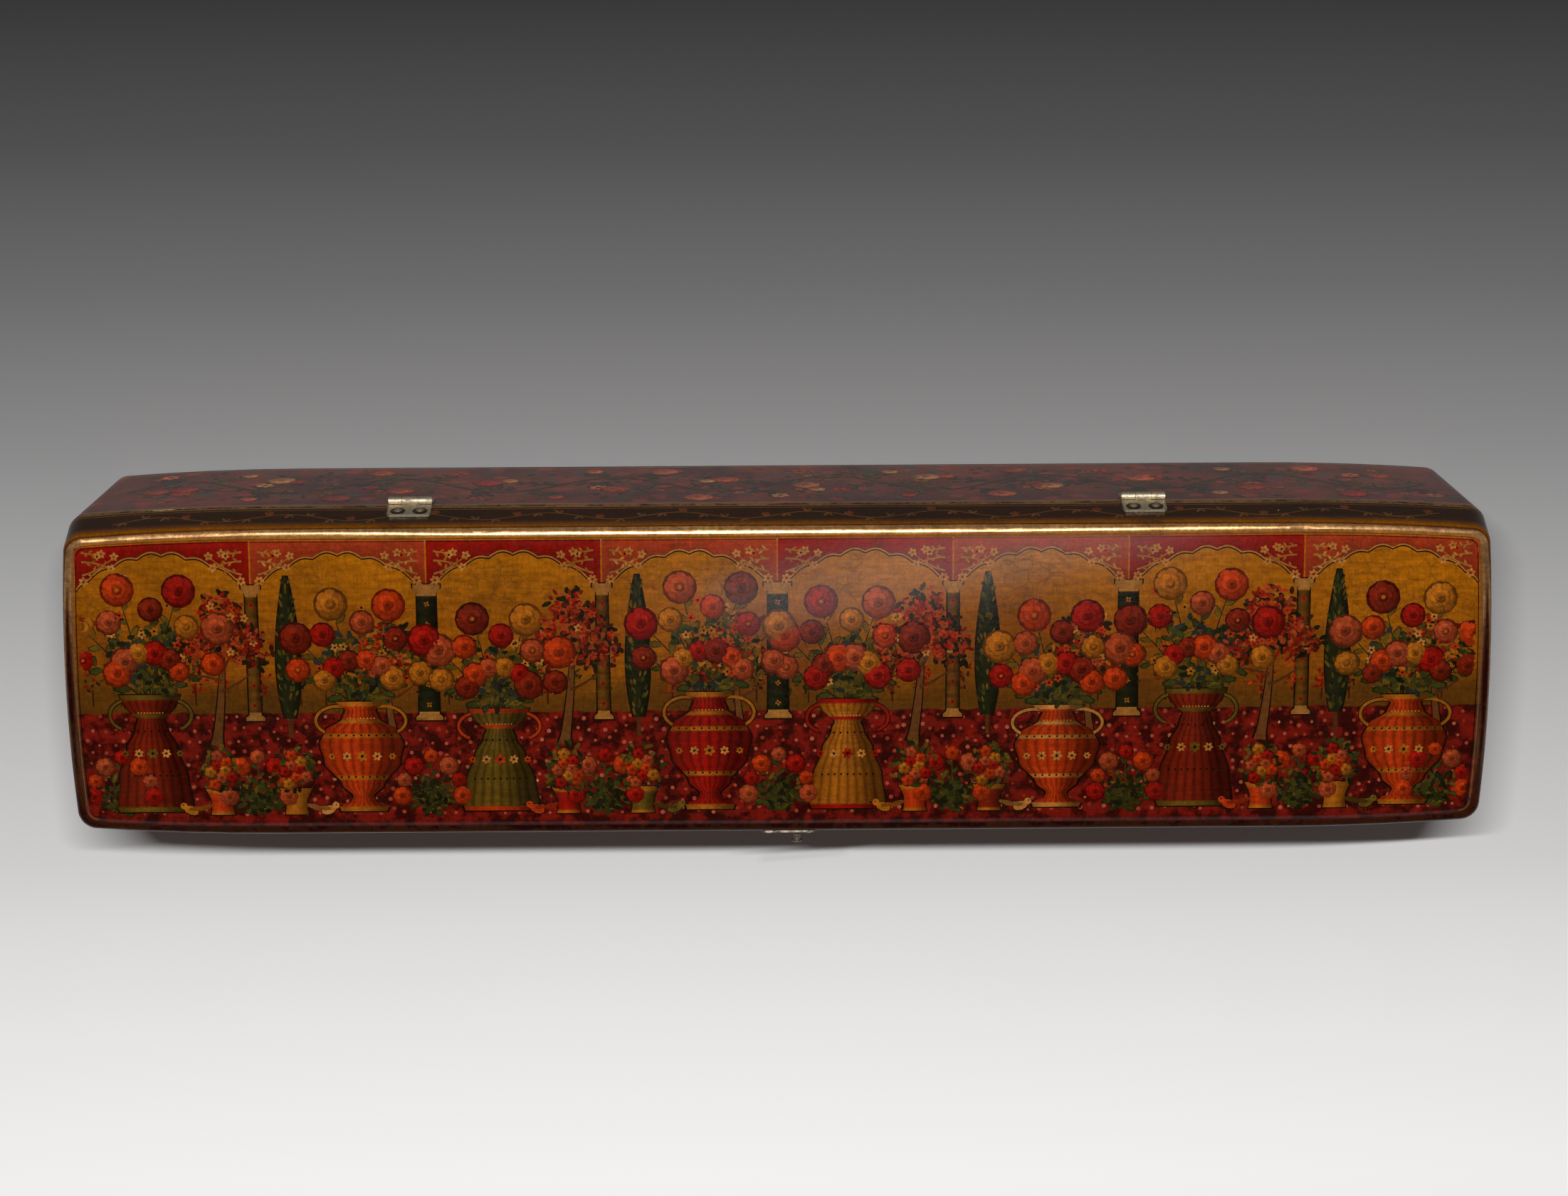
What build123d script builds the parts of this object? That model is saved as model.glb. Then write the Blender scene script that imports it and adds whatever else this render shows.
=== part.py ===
from build123d import *
import math
import os

os.makedirs("parts", exist_ok=True)

# A long lidded pen box of lacquered papier mache. The base stands flat on Z = 0 with the origin at the
# middle of its underside, X runs along the box, the hinges are on the +Y side and the catch is on -Y.

# Outline of the closed box, measured where the lid meets the body
seam_length = 360.0
seam_width = 85.0
end_sag = 1.5
side_ease = 2.0
ease_run = 50.0
corner_radius = 5.0

# Body: a deep tray that narrows a little towards its foot
body_height = 52.0
foot_inset_side = 1.0
foot_inset_end = 1.75
body_wall = 3.5
body_floor = 4.0
foot_bevel = 1.1
tray_bevel = 1.2

# Liner strip glued inside the mouth of the tray, which stands up into the lid
lip_thickness = 1.6
lip_height = 3.0
lip_seat = 10.0
lid_clearance = 0.4

# Lid: its sides lean in to a gently crowned face
lid_height = 12.8
face_inset_side = 2.7
face_inset_end = 0.9
lid_wall = 3.2
lid_top = 3.2
crown_across = 1.2
crown_along = 0.8
face_round = 2.2
hollow_bevel = 1.0

# Butt hinges, one at each side of the middle of the back
hinge_spacing = 184.5
hinge_width = 10.9
leaf_height = 6.8
leaf_thickness = 0.6
leaf_gap = 0.05
leaf_corner = 0.8
knuckle_radius = 1.1
knuckle_offset = 1.25
knuckle_middle = 4.0
knuckle_gap = 0.1
sweep_gap = 0.15
pin_radius = 0.55
pin_hold_gap = 0.02
pin_run_gap = 0.05
pin_stand = 0.3

# Round nails that hold the leaves and the catch plates, each in an embossed ring on the hinges
nail_shank = 0.8
nail_sides = 16
nail_head = 0.8
nail_rise = 0.35
nail_edge = 0.12
nail_slope = 52
nail_bite = 2.3
nail_gap = 0.05
nail_pitch = 5.6
nail_set = 4.6
ring_radius = 1.25
ring_width = 0.5
ring_rise = 0.2

# Catch in the middle of the front: a swinging hook on the body, a headed stud on the lid
catch_middle = 2.5
plate_width = 14.0
plate_thickness = 0.5
plate_corner = 1.2
lid_plate_low = 3.0
lid_plate_high = 12.4
body_plate_low = 13.0
body_plate_high = 1.5
plate_nail_pitch = 10.0
plate_nail_inset = 2.2
pivot_drop = 8.0
pivot_radius = 0.8
pivot_head = 1.6
pivot_head_rise = 0.55
hook_stand = 0.85
hook_thickness = 0.8
hook_arm = 2.0
hook_eye = 2.1
hook_tip = 1.8
hook_gap = 0.15
hook_run_gap = 0.05
hook_bend = 0.7
stud_rise = 6.25
stud_radius = 0.9
stud_head = 1.45
stud_head_rise = 0.4
stud_bite = 2.4

seam_z = body_height
face_z = body_height + lid_height
inner_corner = max(corner_radius - body_wall, 1.0)


def draw_outline(length, width, corner):
    # Straight long sides that ease inwards near the ends, bowed short ends and rounded corners
    tip = length / 2 - end_sag
    flank = width / 2
    shoulder = flank - side_ease
    run = tip - ease_run
    with BuildLine() as rim:
        Line((-run, flank), (run, flank))
        TangentArc((run, flank), (tip, shoulder), tangent=(1, 0))
        ThreePointArc((tip, shoulder), (length / 2, 0), (tip, -shoulder))
        TangentArc((run, -flank), (tip, -shoulder), tangent=(1, 0))
        Line((-run, -flank), (run, -flank))
        TangentArc((-run, -flank), (-tip, -shoulder), tangent=(-1, 0))
        ThreePointArc((-tip, shoulder), (-length / 2, 0), (-tip, -shoulder))
        TangentArc((-run, flank), (-tip, shoulder), tangent=(-1, 0))
    outline = make_face(rim.edges())
    corners = [v for v in outline.vertices() if abs(abs(v.X) - tip) < 0.01]
    fillet(corners, radius=corner)


def body_size(z, inset):
    # Length and width of the tray at a height, less a wall on every side
    share = 1 - z / body_height
    length = seam_length - 2 * foot_inset_end * share - 2 * inset
    width = seam_width - 2 * foot_inset_side * share - 2 * inset
    return length, width


def lid_size(z, inset):
    # The same for the lid, whose sides lean in above the seam
    share = (z - seam_z) / lid_height
    length = seam_length - 2 * face_inset_end * share - 2 * inset
    width = seam_width - 2 * face_inset_side * share - 2 * inset
    return length, width


def loft_between(size, low, high, inset, corner, mode=Mode.ADD):
    # One tapering block between two heights of the tray or of the lid
    with BuildSketch(Plane.XY.offset(low)) as lower:
        draw_outline(*size(low, inset), corner)
    with BuildSketch(Plane.XY.offset(high)) as upper:
        draw_outline(*size(high, inset), corner)
    return loft(sections=[lower.sketch, upper.sketch], ruled=True, mode=mode)


# Planes that lie on the four sloping sides where the fittings go: X along the box, Z out of the side
body_lean = math.atan2(foot_inset_side, body_height)
lid_lean = math.atan2(face_inset_side, lid_height)
back_out = (0, math.cos(body_lean), -math.sin(body_lean))
back_lid_out = (0, math.cos(lid_lean), math.sin(lid_lean))
front_out = (0, -math.cos(body_lean), -math.sin(body_lean))
front_lid_out = (0, -math.cos(lid_lean), math.sin(lid_lean))


def side_plane(x, y, out):
    return Plane(origin=(x, y, seam_z), x_dir=(1, 0, 0), z_dir=out)


hinge_axis_y = seam_width / 2 + knuckle_offset
hinge_places = {"left": -hinge_spacing / 2, "right": hinge_spacing / 2}
back_y = seam_width / 2
front_y = -seam_width / 2
body_back = {side: side_plane(x, back_y, back_out) for side, x in hinge_places.items()}
lid_back = {side: side_plane(x, back_y, back_lid_out) for side, x in hinge_places.items()}
body_front = side_plane(catch_middle, front_y, front_out)
lid_front = side_plane(catch_middle, front_y, front_lid_out)

# Nail positions on those planes. On the back planes local Y points down, on the front ones up.
body_leaf_nails = [(-nail_pitch / 2, nail_set), (nail_pitch / 2, nail_set)]
lid_leaf_nails = [(-nail_pitch / 2, -nail_set), (nail_pitch / 2, -nail_set)]
body_plate_row = -(body_plate_low - plate_nail_inset)
lid_plate_row = lid_plate_high - plate_nail_inset
body_plate_nails = [(-plate_nail_pitch / 2, body_plate_row), (plate_nail_pitch / 2, body_plate_row)]
lid_plate_nails = [(-plate_nail_pitch / 2, lid_plate_row), (plate_nail_pitch / 2, lid_plate_row)]

# Places of the two turned pins of the catch, which lie along Y
pivot_z = seam_z - pivot_drop
stud_z = pivot_z + pivot_drop + stud_rise
stud_x = catch_middle + hook_arm / 2 + hook_gap + stud_radius
plate_face_y = front_y + foot_inset_side * pivot_drop / body_height - leaf_gap - plate_thickness
hook_face_y = front_y - hook_stand
stud_wall_y = front_y + face_inset_side * stud_rise / lid_height
pivot_wall_y = front_y + foot_inset_side * pivot_drop / body_height


def drill(plane, spots, depth):
    # Pilot holes for nails, straight into a side
    with BuildSketch(plane) as holes:
        with Locations(*spots):
            Rectangle(nail_shank + 2 * nail_gap, nail_shank + 2 * nail_gap)
    extrude(holes.sketch, amount=-depth, mode=Mode.SUBTRACT)


def bore_along_y(x, z, radius, start, end, mode=Mode.SUBTRACT):
    # A round hole or shaft along Y between two values of Y, both negative, start nearer the middle
    with BuildSketch(Plane.XZ.offset(-start)) as section:
        with Locations((x, z)):
            Circle(radius)
    extrude(section.sketch, amount=start - end, mode=mode)


with BuildPart() as body_shell:
    loft_between(body_size, 0, seam_z, 0, corner_radius)
    foot = body_shell.faces().sort_by(Axis.Z)[0].edges()
    chamfer(foot, length=foot_bevel)
    with BuildPart(mode=Mode.SUBTRACT) as tray_hollow:
        loft_between(body_size, body_floor, seam_z, body_wall, inner_corner)
        hollow_foot = tray_hollow.faces().sort_by(Axis.Z)[0].edges()
        chamfer(hollow_foot, length=tray_bevel)
    for side in hinge_places:
        drill(body_back[side], body_leaf_nails, nail_bite + 0.2)
    drill(body_front, body_plate_nails, nail_bite + 0.2)
    bore_along_y(catch_middle, pivot_z, pivot_radius + nail_gap, pivot_wall_y + stud_bite + 0.2, front_y - 1)
body_shell.part.label = "body_shell"
export_step(body_shell.part, "parts/body_shell.step")


lip_inset = lid_wall + lid_clearance
inner_lip = lip_inset + lip_thickness
with BuildPart() as body_lip:
    loft_between(body_size, seam_z - lip_seat, seam_z, lip_inset, inner_corner)
    loft_between(lid_size, seam_z, seam_z + lip_height, lip_inset, inner_corner)
    loft_between(body_size, seam_z - lip_seat, seam_z, inner_lip, inner_corner, Mode.SUBTRACT)
    loft_between(lid_size, seam_z, seam_z + lip_height, inner_lip, inner_corner, Mode.SUBTRACT)
body_lip.part.label = "body_lip"
export_step(body_lip.part, "parts/body_lip.step")

# The crown is a slice of a wide ring: a low arch across the box that also falls a little to each end
arch_half = seam_width / 2 - face_inset_side
fall_radius = ((seam_length / 2) ** 2 + crown_along**2) / (2 * crown_along)
crown_top = face_z + crown_across + crown_along
with BuildPart() as lid_shell:
    loft_between(lid_size, seam_z, crown_top + 1, 0, corner_radius)
    with BuildSketch(Plane.YZ) as crown:
        with BuildLine():
            arch = ThreePointArc(
                (-arch_half, crown_top - crown_across),
                (0, crown_top),
                (arch_half, crown_top - crown_across),
            )
            over = seam_width / 2
            Polyline(arch @ 1, (over, (arch @ 1).Y - 1), (over, 0), (-over, 0), (-over, (arch @ 0).Y - 1), arch @ 0)
        make_face()
    ring_axis = Axis((0, 0, crown_top - fall_radius), (0, 1, 0))
    revolve(crown.sketch, axis=ring_axis, revolution_arc=360, mode=Mode.INTERSECT)
    face = lid_shell.faces().sort_by(Axis.Z)[-1]
    fillet(face.edges(), radius=face_round)
    with BuildPart(mode=Mode.SUBTRACT) as lid_hollow:
        loft_between(lid_size, seam_z, face_z - lid_top, lid_wall, inner_corner)
        ceiling = lid_hollow.faces().sort_by(Axis.Z)[-1].edges()
        chamfer(ceiling, length=hollow_bevel)
    for side in hinge_places:
        drill(lid_back[side], lid_leaf_nails, nail_bite + 0.2)
    drill(lid_front, lid_plate_nails, nail_bite + 0.2)
    bore_along_y(stud_x, stud_z, stud_radius + nail_gap, stud_wall_y + stud_bite + 0.2, front_y - 1)
lid_shell.part.label = "lid_shell"
export_step(lid_shell.part, "parts/lid_shell.step")


# Butt hinges. The knuckles turn on a pin that lies along X at the seam, just behind the box.
clear_radius = knuckle_radius + sweep_gap
half_middle = knuckle_middle / 2
outer_knuckle = hinge_width / 2 - half_middle - knuckle_gap


def leaf_start(plane):
    # How far from the plane's origin the full width of a leaf may begin, to stay clear of the knuckles
    axis = plane.to_local_coords(Vector(plane.origin.X, hinge_axis_y, seam_z))
    top = leaf_gap + leaf_thickness
    reach = math.sqrt(clear_radius**2 - (axis.Z - top) ** 2)
    return axis.Y, reach


def make_leaf(plane, away, tabs, hole_radius, nails):
    # A flat leaf on a side of the box, with a tab to each of its knuckles and a ring round each nail
    axis_along, reach = leaf_start(plane)
    begin = axis_along + away * reach
    with BuildSketch(plane.offset(leaf_gap)) as flat:
        with Locations((0, away * leaf_height / 2 + begin / 2)):
            Rectangle(hinge_width, leaf_height - away * begin)
        outer = flat.vertices().group_by(Axis.Y)[-1 if away > 0 else 0]
        fillet(outer, radius=leaf_corner)
        for start, width in tabs:
            with Locations((start + width / 2, (axis_along + begin) / 2)):
                Rectangle(width, abs(begin - axis_along) + 0.01)
    extrude(flat.sketch, amount=leaf_thickness)
    for start, width in tabs:
        with BuildSketch(Plane.YZ.offset(plane.origin.X + start)) as knuckle:
            with Locations((hinge_axis_y, seam_z)):
                Circle(knuckle_radius)
        extrude(knuckle.sketch, amount=width)
    with BuildSketch(Plane.YZ.offset(plane.origin.X - hinge_width)) as bore:
        with Locations((hinge_axis_y, seam_z)):
            Circle(hole_radius)
    extrude(bore.sketch, amount=2 * hinge_width, mode=Mode.SUBTRACT)
    with BuildSketch(plane.offset(leaf_gap + leaf_thickness)) as beads:
        with Locations(*nails):
            Circle(ring_radius + ring_width / 2)
            Circle(ring_radius - ring_width / 2, mode=Mode.SUBTRACT)
    extrude(beads.sketch, amount=ring_rise)
    with BuildSketch(plane.offset(leaf_gap - 1)) as holes:
        with Locations(*nails):
            Rectangle(nail_shank + 2 * nail_gap, nail_shank + 2 * nail_gap)
    extrude(holes.sketch, amount=leaf_thickness + 2, mode=Mode.SUBTRACT)


def turned_pin(plane, spot, steps, round_end):
    # Round steps out of a plane, each with a radius, a start and an end, and a bevelled rim on the last
    for radius, start, end in steps:
        with BuildSketch(plane.offset(start)) as step:
            with Locations(spot):
                Circle(radius)
        made = extrude(step.sketch, amount=end - start)
    tip = made.faces().sort_by(Axis(plane.origin, plane.z_dir))[-1]
    chamfer(tip.edges(), length=round_end)


def make_nail(plane, spot, rest):
    # A cut nail with a square shank and a raised head that bears on metal at a height above the plane
    seat = rest + 0.02
    with BuildSketch(plane.offset(-nail_bite)) as shank:
        with Locations(spot):
            Rectangle(nail_shank, nail_shank)
    extrude(shank.sketch, amount=nail_bite + seat)
    with BuildSketch(plane.offset(seat)) as rim:
        with Locations(spot):
            RegularPolygon(nail_head, nail_sides)
    extrude(rim.sketch, amount=nail_edge)
    with BuildSketch(plane.offset(seat + nail_edge)) as crown:
        with Locations(spot):
            RegularPolygon(nail_head, nail_sides)
    extrude(crown.sketch, amount=nail_rise - nail_edge, taper=nail_slope)


half = hinge_width / 2
middle_tab = [(-half_middle, knuckle_middle)]
outer_tabs = [(-half, outer_knuckle), (half - outer_knuckle, outer_knuckle)]
on_leaf = leaf_gap + leaf_thickness

for side, x in hinge_places.items():
    with BuildPart() as body_leaf:
        make_leaf(body_back[side], 1, outer_tabs, pin_radius + pin_hold_gap, body_leaf_nails)
    body_leaf.part.label = f"hinge_{side}_body_leaf"
    export_step(body_leaf.part, f"parts/hinge_{side}_body_leaf.step")

    with BuildPart() as lid_leaf:
        make_leaf(lid_back[side], -1, middle_tab, pin_radius + pin_run_gap, lid_leaf_nails)
    lid_leaf.part.label = f"hinge_{side}_lid_leaf"
    export_step(lid_leaf.part, f"parts/hinge_{side}_lid_leaf.step")

    with BuildPart() as hinge_pin:
        with BuildSketch(Plane.YZ.offset(x - half - pin_stand)) as wire:
            with Locations((hinge_axis_y, seam_z)):
                Circle(pin_radius)
        extrude(wire.sketch, amount=hinge_width + 2 * pin_stand)
        chamfer(hinge_pin.edges().filter_by(GeomType.CIRCLE), length=pin_radius * 0.4)
    hinge_pin.part.label = f"hinge_{side}_pin"
    export_step(hinge_pin.part, f"parts/hinge_{side}_pin.step")

    for n, spot in enumerate(body_leaf_nails, 1):
        with BuildPart() as body_nail:
            make_nail(body_back[side], spot, on_leaf)
        body_nail.part.label = f"hinge_{side}_body_nail_{n}"
        export_step(body_nail.part, f"parts/hinge_{side}_body_nail_{n}.step")

    for n, spot in enumerate(lid_leaf_nails, 1):
        with BuildPart() as lid_nail:
            make_nail(lid_back[side], spot, on_leaf)
        lid_nail.part.label = f"hinge_{side}_lid_nail_{n}"
        export_step(lid_nail.part, f"parts/hinge_{side}_lid_nail_{n}.step")


# Catch plates, thin and round cornered, each with two nails
def make_plate(plane, low, high, nails):
    with BuildSketch(plane.offset(leaf_gap)) as outline:
        with Locations((0, (low + high) / 2)):
            RectangleRounded(plate_width, high - low, plate_corner)
        with Locations(*nails):
            Rectangle(nail_shank + 2 * nail_gap, nail_shank + 2 * nail_gap, mode=Mode.SUBTRACT)
    extrude(outline.sketch, amount=plate_thickness)


with BuildPart() as catch_lid_plate:
    make_plate(lid_front, lid_plate_low, lid_plate_high, lid_plate_nails)
    bore_along_y(stud_x, stud_z, stud_radius + nail_gap, stud_wall_y + 2, front_y - 2)
catch_lid_plate.part.label = "catch_lid_plate"
export_step(catch_lid_plate.part, "parts/catch_lid_plate.step")

with BuildPart() as catch_body_plate:
    make_plate(body_front, -body_plate_low, -body_plate_high, body_plate_nails)
    bore_along_y(catch_middle, pivot_z, pivot_radius + nail_gap, pivot_wall_y + 2, front_y - 2)
catch_body_plate.part.label = "catch_body_plate"
export_step(catch_body_plate.part, "parts/catch_body_plate.step")

on_plate = leaf_gap + plate_thickness
for n, spot in enumerate(lid_plate_nails, 1):
    with BuildPart() as lid_plate_nail:
        make_nail(lid_front, spot, on_plate)
    lid_plate_nail.part.label = f"catch_lid_nail_{n}"
    export_step(lid_plate_nail.part, f"parts/catch_lid_nail_{n}.step")

for n, spot in enumerate(body_plate_nails, 1):
    with BuildPart() as body_plate_nail:
        make_nail(body_front, spot, on_plate)
    body_plate_nail.part.label = f"catch_body_nail_{n}"
    export_step(body_plate_nail.part, f"parts/catch_body_nail_{n}.step")

# The headed pins of the catch stand straight out to the front, measured from the plane Y = 0
front = Plane.XZ
hook_in = -hook_face_y
hook_out = hook_in + hook_thickness
with BuildPart() as hook_pivot:
    shank = (pivot_radius, -pivot_wall_y - stud_bite, hook_out + hook_gap / 2)
    collar = (pivot_head, -plate_face_y + 0.06, hook_in - hook_gap / 2)
    head = (pivot_head, hook_out + hook_gap / 2, hook_out + hook_gap / 2 + pivot_head_rise)
    turned_pin(front, (catch_middle, pivot_z), [shank, collar, head], pivot_head_rise * 0.8)
hook_pivot.part.label = "hook_pivot"
export_step(hook_pivot.part, "parts/hook_pivot.step")

with BuildPart() as catch_lid_stud:
    shank = (stud_radius, -stud_wall_y - stud_bite, hook_out + hook_gap)
    head = (stud_head, hook_out + hook_gap, hook_out + hook_gap + stud_head_rise)
    turned_pin(front, (stud_x, stud_z), [shank, head], stud_head_rise * 0.8)
catch_lid_stud.part.label = "catch_lid_stud"
export_step(catch_lid_stud.part, "parts/catch_lid_stud.step")

# The hook hangs free from its pivot. Turned half round, its arm comes beside the stud and its tip over it.
reach = stud_z - pivot_z + stud_radius + hook_gap
tip_end = stud_x - catch_middle + stud_radius + hook_gap
with BuildPart() as hook:
    with BuildSketch(front.offset(hook_in)) as flat_hook:
        with Locations((catch_middle, pivot_z)):
            Circle(hook_eye)
            with Locations((0, -(reach + hook_tip) / 2)):
                Rectangle(hook_arm, reach + hook_tip)
            with Locations(((hook_arm / 2 - tip_end) / 2, -reach - hook_tip / 2)):
                Rectangle(hook_arm / 2 + tip_end, hook_tip)
        low_corners = flat_hook.vertices().group_by(Axis.Y)[0]
        fillet(low_corners, radius=hook_bend)
        with Locations((catch_middle, pivot_z)):
            Circle(pivot_radius + hook_run_gap, mode=Mode.SUBTRACT)
    extrude(flat_hook.sketch, amount=hook_thickness)
    rims = hook.faces().sort_by(Axis.Y)[0].edges()
    chamfer(rims, length=hook_thickness * 0.2)
hook.part.label = "hook"
export_step(hook.part, "parts/hook.step")
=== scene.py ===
"""Lacquer pen box: painted lacquer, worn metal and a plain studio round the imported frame."""

import math
import random

import bmesh
import bpy
from bpy.props import FloatProperty, FloatVectorProperty, IntProperty, PointerProperty
from bpy.types import Operator, Panel, PropertyGroup
from mathutils import Matrix, Vector
from mathutils.bvhtree import BVHTree


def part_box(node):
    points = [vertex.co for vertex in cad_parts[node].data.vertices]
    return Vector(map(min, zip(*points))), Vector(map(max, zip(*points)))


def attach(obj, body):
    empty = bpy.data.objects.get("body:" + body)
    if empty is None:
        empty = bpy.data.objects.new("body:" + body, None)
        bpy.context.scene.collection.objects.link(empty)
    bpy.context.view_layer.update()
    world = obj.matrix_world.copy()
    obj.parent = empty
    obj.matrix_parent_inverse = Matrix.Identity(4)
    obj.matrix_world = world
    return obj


bl_info = {
    "name": "Lacquer pen box",
    "version": (1, 0, 0),
    "blender": (4, 5, 0),
    "location": "3D Viewport > Sidebar > Pen Box",
    "description": "Paints, varnishes and lights the packed pen box",
    "category": "Object",
}

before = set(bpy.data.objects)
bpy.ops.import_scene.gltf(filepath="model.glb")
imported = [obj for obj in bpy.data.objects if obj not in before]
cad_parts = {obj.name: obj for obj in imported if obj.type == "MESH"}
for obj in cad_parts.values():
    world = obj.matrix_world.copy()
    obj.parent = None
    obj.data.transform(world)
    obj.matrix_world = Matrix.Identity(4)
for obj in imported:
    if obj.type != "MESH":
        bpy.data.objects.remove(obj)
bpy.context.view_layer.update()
MM = 0.001

# Outline of the box in millimetres, as its solids have it
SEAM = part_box("lid_shell")[0][2] / MM
TOP, BODY_HEIGHT, LID_HEIGHT = 66.8, 52.0, 12.8
HALF_LENGTH, HALF_WIDTH, CORNER = 180.0, 42.5, 5.0
END_SAG, SIDE_EASE, EASE_START, EASE_RUN = 1.5, 2.0, 130.0, 50.0
FOOT_INSETS, FACE_INSETS = (1.0, 1.75), (2.7, 0.9)
CROWN_ACROSS, CROWN_ALONG = 1.2, 0.8
FACE_HALF_WIDTH = HALF_WIDTH - FACE_INSETS[0]
# Rings on the lid's leaves, from the middle of the box, from the leaf's middle and above the seam
HINGE_AT, NAIL_AT, NAIL_UP, RING_RADIUS = 92.25, 2.8, 4.6, 1.45

# Painted panel of the face, in half sizes, and where its figures stand
PANEL_LENGTH, PANEL_WIDTH, PANEL_CORNER = 176.7, 37.6, 3.0
ARCADE, LINE_LENGTH, LINE_WIDTH, LINE_CORNER = 175.2, 173.4, 31.9, 3.2
URN_FOOT, POT_FOOT, BUSH_FOOT, TREE_FOOT, CYPRESS_FOOT, COLUMN_FOOT = -33.6, -34.4, -34.0, -16.0, -9.0, -9.5
# Sides: half lengths that hold paint, the garland's heights, and the scroll's height on the lid
LONG_SIDE, SHORT_SIDE = 168.0, 33.0
GARLAND_LOW, GARLAND, GARLAND_HIGH, SCROLL = 6.5, 26.0, 46.0, 58.7

# The photograph's size and the middle of the lid in it, in pixels
PHOTO_WIDTH, PHOTO_HEIGHT = 2203, 1680
LID_MIDDLE_X, LID_MIDDLE_Y = 1093.1, 956.5


def ink(red, green, blue):
    """A colour given as on a screen, 0 to 255, as the linear values that Blender keeps."""
    linear = [
        v / 255 / 12.92 if v <= 10 else ((v / 255 + 0.055) / 1.055) ** 2.4
        for v in (red, green, blue)
    ]
    return (*linear, 1.0)


def toned(colour, factor):
    """The same colour, lighter or darker."""
    return (*(min(1.0, c * factor) for c in colour[:3]), 1.0)


def blended(first, second, share):
    return tuple(a + (b - a) * share for a, b in zip(first, second))


# Colours of the painted figures
RED, ORANGE, BRICK = ink(126, 16, 9), ink(150, 46, 12), ink(100, 26, 11)
PINK, CREAM, OCHRE = ink(138, 58, 32), ink(160, 108, 54), ink(142, 84, 20)
GREEN, DARK_GREEN, OLIVE = ink(48, 52, 20), ink(25, 29, 15), ink(84, 66, 20)
BLACK, UMBER, BLUE = ink(18, 9, 5), ink(54, 24, 10), ink(36, 42, 42)
TILE, SHAFT, BARK, BRANCH = ink(142, 50, 26), ink(88, 58, 16), ink(88, 54, 26), ink(70, 40, 20)
CYPRESS_BARK, LAWN_RED = ink(70, 42, 20), ink(104, 18, 9)
LAWN_DOTS = (ink(140, 60, 48), ink(124, 48, 34), ink(150, 80, 66))
VINE, SIDE_STEM, SCROLL_BUD = ink(70, 62, 26), ink(50, 46, 22), ink(104, 42, 24)
SIDE_BLOOMS = (ink(176, 44, 28), ink(206, 112, 84), ink(164, 66, 36), ink(200, 146, 94), ink(190, 84, 40))
PETAL, FADED_LEAF = ink(160, 54, 34), ink(66, 70, 66)
# Colours of age, where the lacquer is worn, nicked or dirty, and a painted reflection on the lid's band
NICK, CHIP, GOLD_EDGE, PAINTED_EDGE_REFLECTION = ink(196, 160, 112), ink(196, 164, 122), ink(190, 142, 92), ink(128, 72, 4)
BARE_BODY, BARE_FOOT, BARE_LID = ink(120, 82, 48), ink(104, 70, 42), ink(132, 92, 54)
BARE_LIP, BARE_FACE, BAND_FOOT = ink(118, 78, 46), ink(74, 38, 16), ink(58, 34, 14)
GRIME, CRACK = (0.012, 0.006, 0.003, 1), (0.02, 0.009, 0.004, 1)
HINGE_METAL, CATCH_METAL, NAIL_METAL = ink(208, 194, 166), ink(136, 124, 110), ink(196, 178, 146)
METAL_DIRT, GROOVE_DIRT, BROWNED = ink(40, 30, 22), ink(34, 26, 20), ink(96, 74, 50)


def colour_property(name, text, value):
    return FloatVectorProperty(
        name=name, description=text, size=4, min=0, max=1, subtype="COLOR", default=ink(*value)
    )


def length_property(name, text, value):
    return FloatProperty(name=name, description=text, default=value, min=0, unit="LENGTH")


class LacquerSettings(PropertyGroup):
    amber: colour_property("Amber sky", "Ground behind the arches", (146, 84, 4))
    amber_deep: colour_property("Deep amber", "Ground lower down behind the trees", (108, 54, 6))
    olive: colour_property("Olive hills", "Band where the sky meets the garden", (78, 46, 8))
    maroon: colour_property("Maroon lawn", "Dark ground of the lower garden", (44, 7, 4))
    side_red: colour_property("Side ground", "Brown-red ground of the box's sides", (124, 50, 30))
    band: colour_property("Lid band", "Dark ground round the lid's sides", (46, 25, 8))
    gold: colour_property("Old gold", "Thin lines along the edges", (172, 120, 62))
    inside: colour_property("Inner lacquer", "Plain lacquer of the tray and the lid's hollow", (122, 36, 20))
    base: colour_property("Base lacquer", "Plain dark lacquer under the box", (24, 14, 10))


class PaintSettings(PropertyGroup):
    ground_lift: length_property("Ground lift", "Height of the painted ground above the lid", 0.00001)
    layer_lift: length_property("Layer lift", "Height of the face's lowest figures above it", 0.000016)
    side_lift: length_property("Side lift", "Height of the sides' lowest figures above them", 0.00002)
    layer_step: length_property("Layer step", "Height of one layer of paint over the one below", 0.000005)
    paint_depth: length_property("Paint depth", "Thickness of every painted shape", 0.00004)
    bays: IntProperty(name="Bays", description="Arches along the lid", default=8, min=2)
    seed: IntProperty(name="Seed", description="Start of the painter's small variations", default=11)


class StudioSettings(PropertyGroup):
    lens: FloatProperty(name="Lens", description="Focal length on a 36 mm sensor", default=80.3)
    tilt: FloatProperty(
        name="Tilt", description="How far the camera leans from straight above",
        default=math.radians(15.41), subtype="ANGLE",
    )
    roll: FloatProperty(
        name="Roll", description="Turn of the camera about its own axis",
        default=math.radians(0.383), subtype="ANGLE",
    )
    distance: length_property("Distance", "From the camera to the middle of the lid", 0.878)
    key_power: FloatProperty(name="Key", description="Watts of the long overhead key light", default=22.6)
    sheen_power: FloatProperty(name="Sheen", description="Watts of the hazing lamp", default=0.22)
    fill_power: FloatProperty(name="Fill", description="Strength of the even light all round", default=0.075)
    floor_size: length_property("Floor", "Length of the studio floor", 6.0)


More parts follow.
